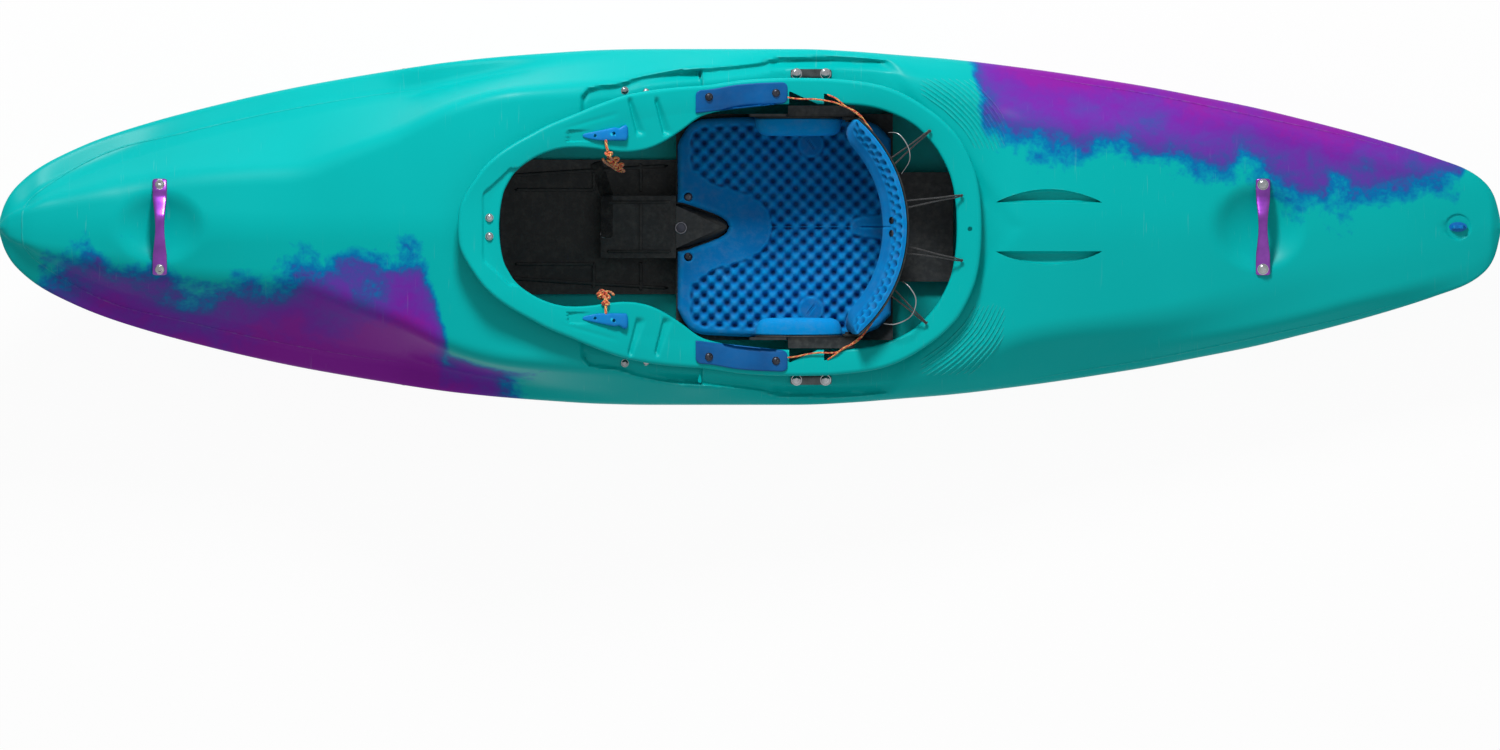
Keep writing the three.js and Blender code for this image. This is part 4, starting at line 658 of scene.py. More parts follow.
def smooth_line(points, spacing=0.0025):
    points = np.asarray(points, float)
    padded = np.vstack([2 * points[0] - points[1], points, 2 * points[-1] - points[-2]])
    fine = []
    for p0, p1, p2, p3 in zip(padded, padded[1:], padded[2:], padded[3:]):
        k = np.sqrt(np.maximum(gaps([p0, p1, p2, p3]), 1e-9))
        a = (p1 - p0) / k[0] - (p2 - p0) / (k[0] + k[1]) + (p2 - p1) / k[1]
        b = (p2 - p1) / k[1] - (p3 - p1) / (k[1] + k[2]) + (p3 - p2) / k[2]
        t = np.linspace(0, 1, 24, endpoint=False)[:, None]
        h = [2 * t**3 - 3 * t**2 + 1, t**3 - 2 * t**2 + t, -2 * t**3 + 3 * t**2, t**3 - t**2]
        fine.append(h[0] * p1 + h[1] * a * k[1] + h[2] * p2 + h[3] * b * k[1])
    fine = np.vstack(fine + [points[-1:]])
    gone = run_of(fine)
    even = np.linspace(0, gone[-1], max(3, int(gone[-1] / spacing) + 1))
    return np.stack([np.interp(even, gone, fine[:, k]) for k in range(3)], 1)


def length_of(line):
    return float(gaps(line).sum())


def tube(name, line, radius, sides=12):
    line = np.asarray(line, float)
    tangent = units_of(np.gradient(line, axis=0))
    up = np.cross(tangent[0], [0.37, 0.21, 0.9])
    rings, turn = [], np.arange(sides) * math.tau / sides
    ends = [(-0.8, 0.45), (-0.45, 0.85)]
    for i, (point, way) in enumerate(zip(line, tangent)):
        up = up - way * (up @ way)
        up /= np.linalg.norm(up)
        ring = np.cos(turn)[:, None] * up + np.sin(turn)[:, None] * np.cross(way, up)
        domes = ends if i == 0 else [(0, 1)]
        if i == len(line) - 1:
            domes = [(0, 1)] + [(-a, b) for a, b in ends[::-1]]
        rings += [point + way * radius * a + ring * radius * b for a, b in domes]
    piece = ringed(name, rings)
    layer = piece.data.uv_layers.new(name="along")
    gone = run_of(np.mean(rings, axis=1))
    for face in piece.data.polygons:
        spots = [(v % sides, v // sides) for v in face.vertices]
        wraps = max(s for s, _ in spots) - min(s for s, _ in spots) > sides / 2
        for loop, (s, row) in zip(face.loop_indices, spots):
            layer.data[loop].uv = ((s + sides * (wraps and s == 0)) / sides, gone[row])
    return piece


# %% [markdown]
# ### The two cord tails
#
# Each cleat grips the cord that tightens the backband, and what is left over hangs down as a
# knotted tail. Only these cords have a free end, and each has the length that the picture shows.
# A short cord wound round the tail makes each knot.

# %% Tails and knots
TAILS = {
    "starboard": [
        (-264, 158.5, 366), (-263, 150, 364.5), (-261, 141, 363), (-258, 132, 357),
        (-255, 126, 343), (-251, 122, 320), (-245, 116, 290), (-238, 109, 262), (-232, 104, 245),
        (-231, 102, 233), (-237, 102, 225), (-245, 105, 227), (-251, 109, 238), (-257, 113, 258),
        (-263, 117, 290), (-267, 121, 318), (-269, 124, 336)],
    "port": [
        (-264, -158.5, 366), (-264, -150, 364.5), (-264, -141, 363), (-265, -132, 357),
        (-267, -127, 342), (-270, -123, 315), (-273, -121, 290), (-272, -120, 272),
        (-266, -119, 262), (-258, -119, 264), (-253, -121, 276), (-251, -123, 300),
        (-250, -124, 330)],
}
CORD_RADIUS = 0.0025


def knot_line(middle, size, side):
    t = np.linspace(0, math.tau, 90)
    x = np.sin(t) + 2 * np.sin(2 * t)
    y = (np.cos(t) - 2 * np.cos(2 * t)) * side
    return np.asarray(middle) + stacked(x * 0.8, y * 0.55, -np.sin(3 * t) * 1.4) * size


for side_name, side in SIDES:
    line = smooth_line(np.array(TAILS[side_name]) / 1000)
    tail = tube(f"cord_tail_{side_name}_braid", line, CORD_RADIUS)
    knots = []
    for share, size in ((0.1, 0.0026), (0.24, 0.0046), (0.4, 0.0038)):
        spot = knot_line(line[int(len(line) * share)], size, side)
        knots.append(tube("knot", spot, CORD_RADIUS * 0.96))
    knot = joined(knots[0], knots[1:])
    knot.name = knot.data.name = f"cord_knot_{side_name}"
    dressed(tail, orange_cord, "hull", "orange_cord", f"cord_tail_{side_name}")
    dressed(knot, orange_cord, "hull", "orange_cord")
    print(side_name, "tail of", round(length_of(line), 3), "m")

# %% [markdown]
# ## The hull's lines
#
# A boat is drawn by long lines: the keel, the deck's middle, the widest rail, the crease above it
# and the shoulder. Each is a table of places, from 0 at the bow to 10000 at the stern, each
# followed by its share in thousandths of the beam, the height or the half section. The slopes
# come from the rises on both sides, so no line swings past its points, and then it is smoothed a
# little.

# %% The long lines, as in the CAD
def table(*numbers, units=(10000, 1000)):
    return np.reshape(numbers, (-1, len(units))) / units


BEAM, HEIGHT, WALL = 0.652, 0.429, 0.006
HALF_WIDTH = table(
    0, 50, 27, 121, 67, 185, 133, 250, 267, 337, 400, 399, 667, 497, 1067, 604, 1333, 663, 1667,
    730, 2000, 789, 2333, 839, 2667, 884, 3000, 924, 3333, 955, 3667, 977, 4000, 994, 4333, 1000,
    5333, 1000, 5667, 988, 6000, 966, 6333, 943, 6667, 910, 7000, 873, 7333, 831, 7667, 786, 8000,
    733, 8333, 677, 8667, 609, 9000, 536, 9333, 455, 9600, 382, 9733, 342, 9833, 298, 9900, 253,
    9933, 219, 9960, 177, 9980, 126, 10000, 50)
KEEL = table(
    0, 795, 67, 766, 200, 702, 400, 620, 667, 522, 1000, 407, 1333, 318, 1667, 241, 2000, 186,
    2333, 143, 2667, 104, 3000, 76, 3333, 55, 3667, 38, 4000, 24, 4400, 9, 4800, 0, 6400, 0, 6667,
    9, 7000, 27, 7333, 45, 7667, 70, 8000, 104, 8333, 151, 8667, 198, 9000, 250, 9333, 300, 9600,
    347, 9767, 373, 9933, 403, 10000, 420)
DECK = table(
    0, 833, 27, 846, 67, 855, 200, 864, 400, 853, 667, 843, 1000, 835, 1333, 838, 1667, 843, 2000,
    847, 2333, 864, 2667, 885, 2933, 902, 3100, 905, 3267, 900, 3400, 886, 3547, 870, 3700, 850,
    3987, 808, 4153, 778, 4380, 742, 4613, 705, 4767, 680, 4993, 643, 5200, 603, 5573, 556, 5913,
    546, 6000, 560, 6450, 565, 6573, 571, 6687, 600, 6780, 613, 7000, 604, 7333, 574, 7667, 540,
    8000, 514, 8333, 492, 8667, 476, 9000, 466, 9333, 459, 9600, 455, 9933, 455, 10000, 434)
RAIL = table(
    0, 812, 67, 790, 133, 765, 267, 728, 440, 678, 813, 591, 1273, 515, 1700, 483, 2207, 466,
    2570, 468, 2770, 530, 3380, 557, 4233, 547, 5200, 527, 5733, 485, 6273, 438, 6807, 387, 7340,
    359, 8000, 330, 8707, 328, 9007, 338, 9453, 380, 9933, 427, 10000, 425)
CREASE = table(
    0, 820, 67, 828, 167, 816, 273, 788, 510, 711, 953, 622, 1193, 601, 1700, 557, 2200, 546,
    2667, 541, 3000, 562, 3333, 583, 3733, 611, 4300, 611, 4667, 600, 4933, 592, 5227, 569, 5573,
    541, 6000, 522, 6333, 497, 6667, 473, 7000, 455, 7333, 441, 7667, 434, 8200, 434, 8667, 429,
    9000, 434, 9333, 438, 9933, 443, 10000, 429)
SHOULDER = table(
    0, 828, 67, 848, 200, 857, 400, 840, 667, 824, 1000, 793, 1333, 800, 1700, 807, 1953, 818,
    2667, 836, 2933, 856, 3087, 863, 3393, 865, 3547, 851, 3700, 832, 3987, 793, 4153, 765, 4380,
    730, 4613, 695, 4767, 671, 4993, 634, 5200, 594, 5573, 548, 5913, 539, 6000, 556, 6450, 559,
    6667, 566, 6800, 580, 7000, 576, 7333, 550, 7667, 520, 8000, 497, 8260, 480, 8710, 466, 9333,
    455, 9933, 450, 10000, 430)
CREASE_OUT = table(
    0, 450, 167, 450, 273, 580, 510, 658, 1020, 762, 1700, 828, 2200, 849, 2667, 844, 3000, 870,
    3333, 900, 3733, 930, 4333, 950, 5227, 957, 5733, 955, 6267, 930, 6667, 905, 7200, 875, 7667,
    864, 8260, 849, 8707, 832, 9000, 800, 9667, 760, 10000, 700)
SHOULDER_OUT = table(
    0, 300, 167, 360, 500, 420, 1000, 450, 1700, 420, 1953, 400, 2300, 505, 2667, 616, 2933, 724,
    3253, 793, 3400, 805, 4133, 800, 4400, 840, 4667, 885, 5227, 875, 5733, 870, 6200, 840, 6500,
    780, 6667, 720, 7000, 680, 7667, 657, 8260, 563, 8710, 430, 8933, 378, 9333, 360, 10000, 350)
CHINE_OUT = table(
    0, 600, 1000, 720, 5000, 785, 9000, 740, 10000, 600)


def fair(points):
    at, value = np.asarray(points, float).T
    rise = np.diff(value) / np.diff(at)
    slope = np.zeros(len(at))
    slope[0], slope[-1] = rise[0], rise[-1]
    along = rise[:-1] * rise[1:] > 0
    total = np.where(along, rise[:-1] + rise[1:], 1)
    slope[1:-1] = np.where(along, 2 * rise[:-1] * rise[1:] / total, 0)

    def line(x):
        x = np.asarray(x, float)
        i = np.clip(np.searchsorted(at, x) - 1, 0, len(at) - 2)
        span = at[i + 1] - at[i]
        t = np.clip((x - at[i]) / span, 0, 1)
        swing = t * t * (3 - 2 * t)
        bend = slope[i] * t * (1 - t) ** 2 - slope[i + 1] * t * t * (1 - t)
        return value[i] * (1 - swing) + value[i + 1] * swing + span * bend

    return line


def step(low, high, x):
    t = np.clip((np.asarray(x, float) - low) / (high - low), 0, 1)
    return t * t * (3 - 2 * t)


def smoothed(values, sigma):
    reach = int(sigma * 3) + 1
    k = np.exp(-0.5 * (np.arange(-reach, reach + 1) / sigma) ** 2)
    return np.convolve(np.pad(values, reach, mode="edge"), k / k.sum(), mode="valid")


FAIRING = np.linspace(0, 1, 2001)


def faired(points, spread=0.0055):
    rough = fair(points)(FAIRING)
    soft = smoothed(rough, spread * 2000)
    calm = step(0.02, 0.06, FAIRING) * (1 - step(0.95, 0.98, FAIRING))
    table = rough + (soft - rough) * calm
    return lambda place: np.interp(place, FAIRING, table)


half_width, keel, deck, rail = faired(HALF_WIDTH), faired(KEEL), faired(DECK), faired(RAIL)
crease, shoulder = faired(CREASE), faired(SHOULDER)
crease_out, shoulder_out, chine_out = faired(CREASE_OUT), faired(SHOULDER_OUT), faired(CHINE_OUT)
print("widest", round(float(half_width(0.48)) * BEAM, 3), "m")

# %% [markdown]
# ## A cross-section of the hull
#
# Seven corners make one half of a section. Each is rounded with a quadratic curve, as in the CAD,
# but with more points. Every section has the same number of points in every stretch, so the
# creases run along grid lines and stay crisp.

# %% One half section, from the deck's middle round to the keel
ROUNDS = [None, 0.025, 0.013, 0.016, 0.026, 0.03, None]
ROUND_POINTS = [0, 11, 5, 6, 5, 3, 0]
TIP_ROUND = 0.09
STRETCH_POINTS = [32, 8, 6, 7, 5, 5]
RIDGE_ROUND = 0.03


def rounded_corner(before, corner, after, cut, count):
    ends = []
    for other in (before, after):
        long = np.hypot(*(other - corner))
        ends.append(corner + (other - corner) * min(cut, long * 0.4) / long)
    t = np.linspace(0, 1, count)[:, None]
    return ends[0] * (1 - t) ** 2 + corner * 2 * t * (1 - t) + ends[1] * t * t


def half_section(place, outward_crowd=0.0):
    half = half_width(place) * BEAM / 2
    low, wide = keel(place) * HEIGHT, rail(place) * HEIGHT
    chine = low + min(0.026, (wide - low) * 0.35)
    corners = np.array([
        [0, deck(place) * HEIGHT],
        [shoulder_out(place) * half, shoulder(place) * HEIGHT],
        [crease_out(place) * half, crease(place) * HEIGHT],
        [half, wide],
        [chine_out(place) * half, chine],
        [0.31 * half, low],
        [0, low],
    ])
    middle = rounded_corner(corners[2], corners[3], corners[4], ROUNDS[3], 3)[1]
    corners[3, 0] = 2 * half - middle[0]
    arcs = [corners[:1]]
    for i in range(1, 6):
        cut = ROUNDS[i]
        if i == 1:
            cut = TIP_ROUND + (cut - TIP_ROUND) * step(0.005, 0.098, place)
        arcs.append(rounded_corner(*corners[i - 1 : i + 2], cut, ROUND_POINTS[i]))
    arcs.append(corners[6:])
    path = []
    for i in range(6):
        start, end = arcs[i][-1], arcs[i + 1][0]
        t = np.linspace(0, 1, STRETCH_POINTS[i] + 1)[:-1]
        if i == 0:
            t = t + (1 - (1 - t) ** 2 - t) * outward_crowd
        else:
            t = t[1:]
        path.append(start + (end - start) * t[:, None])
        path.append(arcs[i + 1])
    path = np.concatenate(path)
    slope = (corners[1, 1] - corners[0, 1]) / corners[1, 0]
    near = np.clip(path[:, 0] / min(RIDGE_ROUND, corners[1, 0] / 2), 0, 1)
    upper = np.arange(len(path)) < STRETCH_POINTS[0]
    rounding = slope * min(RIDGE_ROUND, corners[1, 0] / 2) * (1 - near) ** 2 / 2
    path[:, 1] += np.where(upper, rounding, 0)
    return path


def inset(path, distance):
    before = np.vstack([[-path[1, 0], path[1, 1]], path[:-1]])
    after = np.vstack([path[1:], [-path[-2, 0], path[-2, 1]]])

    def normal(a, b):
        d = b - a
        return np.stack([d[:, 1], -d[:, 0]], 1) / np.maximum(np.hypot(*d.T), 1e-9)[:, None]

    n1, n2 = normal(before, path), normal(path, after)
    scale = distance / np.maximum(1 + (n1 * n2).sum(1), 0.5)
    return path + (n1 + n2) * scale[:, None]


def x_at(place):
    return (np.asarray(place, float) - 0.5) * LENGTH


def place_at(x):
    return np.asarray(x, float) / LENGTH + 0.5


print("points in a half section:", len(half_section(0.5)))

# %% [markdown]
# ## The cockpit rim
#
# The rim is a ring. Its outer edge is the lip that a spray deck grips, and its inner edge runs in
# over the knees as the thigh braces. A row of its table holds the outer edge's place and width
# and the inner edge's place and width, in thousandths of the cockpit's length and half width,
# from front to back. Both edges are smoothed, because edges read off a picture are never quite
# even.

# %% The rim's two edges
COCKPIT_LENGTH, COCKPIT_WIDTH, COCKPIT_FRONT = 0.96, 0.546, 0.837 - LENGTH / 2
LIP, LIP_OVERHANG, NECK_WALL, FLANGE, FLANGE_DROP = 0.016, 0.017, 0.009, 0.009, 0.005
RIM = table(
    0, 0, 79, 0, 3, 144, 82, 134, 19, 248, 88, 241, 50, 405, 108, 362, 81, 500, 127, 420, 112,
    570, 154, 479, 143, 627, 184, 518, 173, 686, 208, 533, 206, 731, 231, 534, 242, 784, 257, 527,
    273, 828, 282, 513, 305, 869, 311, 500, 337, 898, 339, 503, 366, 916, 368, 526, 402, 932, 396,
    573, 436, 942, 429, 650, 476, 950, 464, 749, 539, 985, 536, 804, 587, 996, 587, 818, 637,
    1000, 635, 824, 713, 996, 707, 824, 772, 975, 760, 818, 812, 947, 795, 800, 844, 905, 821,
    771, 877, 842, 848, 731, 901, 784, 871, 684, 921, 735, 886, 637, 956, 611, 913, 529, 978, 465,
    930, 422, 990, 349, 940, 342, 996, 235, 947, 235, 999, 121, 951, 114, 1000, 0, 952, 0,
    units=(1000,) * 4)
RIM_HEIGHT = table(
    0, 1000, 270, 1000, 610, 995, 990, 974, 1370, 949, 1640, 932, 2080, 904, 2520, 872, 2950, 837,
    3560, 783, 4040, 753, 4360, 732, 5340, 688, 6160, 668, 6920, 639, 7680, 627, 8710, 629, 9380,
    634, 10000, 629)
RIM_ROWS = 560
rim_outer_line = fair(RIM[:, :2])
rim_inner_line = fair(RIM[:, 2:])
rim_height_line = faired(RIM_HEIGHT, 0.012)


def cockpit_x(share):
    return COCKPIT_FRONT + np.asarray(share, float) * COCKPIT_LENGTH


def cockpit_share(x):
    return (np.asarray(x, float) - COCKPIT_FRONT) / COCKPIT_LENGTH


def rim_height(x):
    return rim_height_line(np.clip(cockpit_share(x), 0, 1)) * HEIGHT


def rim_outer(x):
    return rim_outer_line(cockpit_share(x)) * COCKPIT_WIDTH / 2


def rim_loop():
    whole = np.vstack([RIM, RIM[-2:0:-1] * [1, -1, 1, -1]])
    points = whole.copy()
    points[:, [0, 2]] = cockpit_x(whole[:, [0, 2]])
    points[:, [1, 3]] = whole[:, [1, 3]] * COCKPIT_WIDTH / 2
    closed = np.vstack([points, points[:1]])
    gone = np.concatenate([[0], np.cumsum(np.hypot(*np.diff(closed[:, :2], axis=0).T))])
    even = np.linspace(0, gone[-1], RIM_ROWS, endpoint=False)
    rows = np.stack([np.interp(even, gone, closed[:, k]) for k in range(4)], 1)
    sigma, reach = 2.6, 9
    k = np.exp(-0.5 * (np.arange(-reach, reach + 1) / sigma) ** 2)
    k /= k.sum()
    soft = sum(w * np.roll(rows, s, axis=0) for w, s in zip(k, range(-reach, reach + 1)))
    # Rows lie closer together at the scoops in the thigh braces, whose walls are sharp.
    dense = 1 + 1.7 * step(-0.238, -0.226, soft[:, 0]) * step(-0.128, -0.14, soft[:, 0])
    told = np.concatenate([[0], np.cumsum(dense)])
    soft = np.vstack([soft, soft[:1]])
    places = np.linspace(0, told[-1], RIM_ROWS, endpoint=False)
    return np.stack([np.interp(places, told, soft[:, k]) for k in range(4)], 1)


rim_rows = rim_loop()
rim_outer_edge = np.column_stack([rim_rows[:, :2], rim_height(rim_rows[:, 0])])
rim_inner_edge = np.column_stack([rim_rows[:, 2:], rim_height(rim_rows[:, 2]) - FLANGE_DROP])
rim_across = np.hypot(*(rim_outer_edge - rim_inner_edge)[:, :2].T)
print("rim widths from", rim_across.min().round(3), "to", rim_across.max().round(3), "m")

# %% [markdown]
# ## Dents in the deck
#
# The mould leaves dents in the deck: a dish under each grab handle, and a pocket and a channel
# beside the rim. A moulded edge is soft, so each dent is a mask that fades over a few
# millimetres, and the deck's points are lowered by it. Only the two lens-shaped grips behind the
# cockpit have sharp edges, and those are cut out later.

# %% Heights of the deck and its dents
BOW_HANDLE, STERN_HANDLE = 0.1065, 0.842
WELL_RADIUS, WELL_DEPTH, WELL_DROP = 0.068, 0.02, 0.008
GRIP_MIDDLE, GRIP_LENGTH, GRIP_DEPTH = x_at(0.6993), 0.194, 0.013
GRIP_INNER, GRIP_OUTER = 0.0445, 0.069
POCKET = fair([
    [0.24, 0.735], [0.252, 0.775], [0.309, 0.8], [0.353, 0.842], [0.416, 0.872], [0.467, 0.884],
])
POCKET_DEPTH, POCKET_ENDS = 0.012, ((-0.311, -0.303), (-0.085, -0.091))
CHANNEL_ENDS = ((-0.09, -0.083), (0.295, 0.262))
SOFT_EDGE, PLATE_EDGE, DRAIN_EDGE = (0.003, -0.003), (0.004, 0.001), (0.0245, 0.0215)
POCKET_WALL, CHANNEL_WALL, WALL_RUN = (0.004, 0.014), (0.01, 0.014), 0.022
SHELF_EDGE = fair([[-0.084, 0.287], [0.018, 0.298], [0.05, 0.306], [0.1, 0.309], [0.22, 0.306],
                   [0.3, 0.296]])
PLATE_X, PLATE_Y, PLATE_LENGTH, PLATE_WIDTH = cockpit_x(0.635), 0.2804, 0.075, 0.017
DRAIN_X, DRAIN_SINK = x_at(0.972), 0.003


def deck_z(x, y, distance=0.0):
    path = half_section(place_at(x))
    if distance:
        path = inset(path, distance)
    top = path[: np.argmax(path[:, 0])]
    return float(np.interp(abs(y), top[:, 0], top[:, 1]))


POCKET_X = np.linspace(-0.33, -0.06, 40)
pocket_floor_table = [deck_z(x, rim_outer(x)) - POCKET_DEPTH for x in POCKET_X]


def pocket_floor(x):
    return np.interp(x, POCKET_X, pocket_floor_table)


def soft_min(a, b, k):
    h = np.maximum(k - np.abs(a - b), 0) / k
    return np.minimum(a, b) - h * h * k / 4


def dented(x, y, z, wall=0.0):
    out = np.abs(y)
    for place in (BOW_HANDLE, STERN_HANDLE):
        ball = (WELL_RADIUS**2 + WELL_DEPTH**2) / (2 * WELL_DEPTH) + wall
        bottom = deck(place) * HEIGHT - WELL_DROP - WELL_DEPTH - wall
        gone = (x - x_at(place)) ** 2 + y**2
        dish = bottom + ball - np.sqrt(np.maximum(ball**2 - gone, 0))
        near = gone < (WELL_RADIUS * 1.5) ** 2
        z = np.where(near, soft_min(z, dish, 0.01), z)
    near_rim = rim_outer(x) - 0.04
    far = POCKET(cockpit_share(x)) * BEAM / 2
    beside = step(*SOFT_EDGE, out - far - wall) * (out > near_rim)
    pocket = beside * step(*POCKET_ENDS[0], x) * step(*POCKET_ENDS[1], x)
    sunk = POCKET_WALL[0] + (POCKET_WALL[1] - POCKET_WALL[0]) * step(-0.28, -0.1, x)
    sunk = sunk * step(far - WALL_RUN, far - 0.004, out)
    z = z + (np.minimum(pocket_floor(x) - wall - z, 0) - sunk) * pocket
    edge = SHELF_EDGE(x)
    plate = step(*PLATE_EDGE, np.abs(out - PLATE_Y) - PLATE_WIDTH / 2) * step(
        *PLATE_EDGE, np.abs(x - PLATE_X - PLATE_LENGTH / 2) - PLATE_LENGTH / 2)
    depth = CHANNEL_WALL[0] + (CHANNEL_WALL[1] - CHANNEL_WALL[0]) * step(0.036, 0.046, x)
    depth = depth * step(*CHANNEL_ENDS[0], x) * step(*CHANNEL_ENDS[1], x + (out - 0.265) * 0.8)
    depth = depth * (0.25 + 0.75 * step(edge - WALL_RUN, edge - 0.004, out))
    channel = step(*SOFT_EDGE, out - edge) * (out > near_rim) * (1 - plate)
    return z - depth * channel - DRAIN_SINK * step(*DRAIN_EDGE, np.hypot(x - DRAIN_X, y))


print("pocket floor at", round(float(pocket_floor(-0.2)), 4), "m")

# %% [markdown]
# ## The hull shell
#
# The outside is one grid of sections, whose stations stand close together only where a dent or a
# tip needs them. The inside is a second grid, a wall's thickness in. Booleans with the Manifold
# solver take the inside and the cockpit's opening out of the outer form, so the shell is one
# closed skin.


# %% The outer form and the hollow
# Gaps between stations: at the handles' wells, at the pockets' ends, at steep and at plain
# places of the cockpit, and at the drain.
WELL_GAP, WALL_GAP, STEEP_GAP, PLAIN_GAP, DRAIN_GAP = 0.0046, 0.0028, 0.0041, 0.006, 0.0024


def station_places():
    x, places = -LENGTH / 2, []
    while x < LENGTH / 2 - 0.0004:
        places.append(x)
        end = min(x + LENGTH / 2, LENGTH / 2 - x)
        gap = min(0.0105, 0.0009 + 0.085 * end)
        wells = min(abs(x - x_at(p)) for p in (BOW_HANDLE, STERN_HANDLE))
        if wells < 0.078:
            gap = min(gap, WELL_GAP)
        if -0.318 < x < -0.288 or -0.1 < x < -0.078:
            gap = WALL_GAP
        elif -0.32 < x < 0.3:
            gap = STEEP_GAP if x < -0.07 or 0.03 < x < 0.055 or x > 0.245 else PLAIN_GAP
        elif abs(x - DRAIN_X) < 0.028:
            gap = DRAIN_GAP
        x += gap
    return np.array(places + [LENGTH / 2])


BEAD = 0.0011
BEAD_START = STRETCH_POINTS[0] + ROUND_POINTS[1] + STRETCH_POINTS[1] - 1


def hull_ring(x, distance=0.0):
    crowd = step(-0.36, -0.31, x) * step(0.34, 0.29, x)
    path = half_section(place_at(x), crowd)
    if distance:
        path = inset(path, distance)
    else:
        bead = BEAD * step(0.01, 0.03, place_at(x)) * step(0.33, 0.25, place_at(x))
        arc = slice(BEAD_START + 1, BEAD_START + ROUND_POINTS[2] - 1)
        path[arc] = path[arc] + [bead * 0.5, bead]
    widest = np.argmax(path[:, 0])
    top = np.arange(len(path)) < widest - 2
    xs = np.full(len(path), x)
    path[:, 1] = np.where(top, dented(xs, path[:, 0], path[:, 1], distance), path[:, 1])
    ring = np.vstack([path, path[-2:0:-1] * [-1, 1]])
    return stacked(x, *ring.T)


def tip_rings(ring, away):
    middle = ring.mean(axis=0)
    sizes = [(0.86, 0.0004), (0.6, 0.0009), (0.25, 0.0012)]
    return [middle + (ring - middle) * s + [away * lift, 0, 0] for s, lift in sizes]


def grip_tool(side, wall=0.0):
    t = np.linspace(0, 1, 40)
    bow_edge = np.column_stack([t, np.zeros(40)])
    stern_edge = np.column_stack([t[-2:0:-1], np.sin(np.pi * t[-2:0:-1]) ** 0.8])
    shape = np.vstack([bow_edge, stern_edge])
    rings = []
    for up, drawn in ((0.03, 1.03), (0.0008, 1.03), (-0.0008, 1), (-0.5, 0.92), (-0.88, 0.83),
                      (-1, 0.7)):
        across = 0.5 + (shape[:, 1] - 0.5) * drawn
        half = (GRIP_OUTER - GRIP_INNER) / 2 + wall
        y = (GRIP_INNER + GRIP_OUTER) / 2 + (across - 0.5) * 2 * half
        x = GRIP_MIDDLE + (shape[:, 0] - 0.5) * (GRIP_LENGTH + 2 * wall) * (0.9 + 0.1 * drawn)
        depth = up * (GRIP_DEPTH + wall) if up < -0.01 else up
        z = [deck_z(a, b) + depth for a, b in zip(x, y)]
        rings.append(np.column_stack([x, side * y, z]))
    return ringed("grip_tool", rings)


stations = station_places()
outer_rings = [hull_ring(x) for x in stations]
outer_rings = tip_rings(outer_rings[0], -1)[::-1] + outer_rings + tip_rings(outer_rings[-1], 1)
hull = ringed("hull", outer_rings)
hollow = ringed("hollow", [hull_ring(x, WALL) for x in np.linspace(x_at(0.03), x_at(0.98), 170)])
hole_edge = rim_outer_edge + (rim_inner_edge - rim_outer_edge) * (
    (LIP_OVERHANG + NECK_WALL + 0.001) / rim_across)[:, None]
hole_edge = hole_edge[::2]
opening = prism("opening", hole_edge[:, :2], (HEIGHT / 2, 0.47))
plug_hole = prism("plug_hole", circle(DRAIN_X, 0, 0.0076), (0.16, 0.22))
carved(hollow, [grip_tool(side, WALL) for side in (1, -1)])
carved(hull, [grip_tool(side) for side in (1, -1)] + [hollow, opening, plug_hole])
print("hull faces:", len(hull.data.polygons), "from", len(stations), "stations")

# %% [markdown]
# ## The rim as a swept ring
#
# One profile is swept round the loop: a rounded lip, a neck down to the deck, and a flange that
# widens into the thigh braces. The recess at the front and the scoops in the braces are lowered
# with masks, like the deck's dents.

# %% Sweep the rim
TOP_POINTS, SCOOP_STARTS = 34, (-0.2085, -0.1595)
SCOOP_DEPTH, FRONT_DEPTH, RAMP_DEPTH, GROOVE_DEPTH = 0.0085, 0.006, 0.0055, 0.0011
STEP_HALF = fair([[-0.4905, 0.052], [-0.487, 0.062], [-0.478, 0.07], [-0.458, 0.088],
                  [-0.44, 0.106]])


def rim_dents(x, y, z):
    out = np.abs(y)
    front = step(-0.4915, -0.4865, x) * step(0.003, -0.002, out - STEP_HALF(x)) * (x < -0.41)
    z = z - FRONT_DEPTH * front
    for start in SCOOP_STARTS:
        across = np.clip((out - 0.172) / 0.056, 0, 1)
        past = x - start + 0.014 * across
        scoop = step(-0.0018, 0.0018, past) * step(0.021 - 0.009 * across, 0, past)
        z = z - SCOOP_DEPTH * scoop * step(0.164, 0.176, out) * step(0.24, 0.228, out)
    ramp = np.clip((-0.288 - x) / 0.044, 0, 1) * step(-0.3345, -0.332, x)
    z = z - RAMP_DEPTH * ramp * step(0.0115, 0.009, np.abs(out - 0.1665))
    groove = np.exp(-(((out - 0.205 - (x + 0.25) * 0.28) / 0.004) ** 2))
    return z - GROOVE_DEPTH * groove * step(-0.36, -0.3, x) * step(-0.235, -0.255, x)


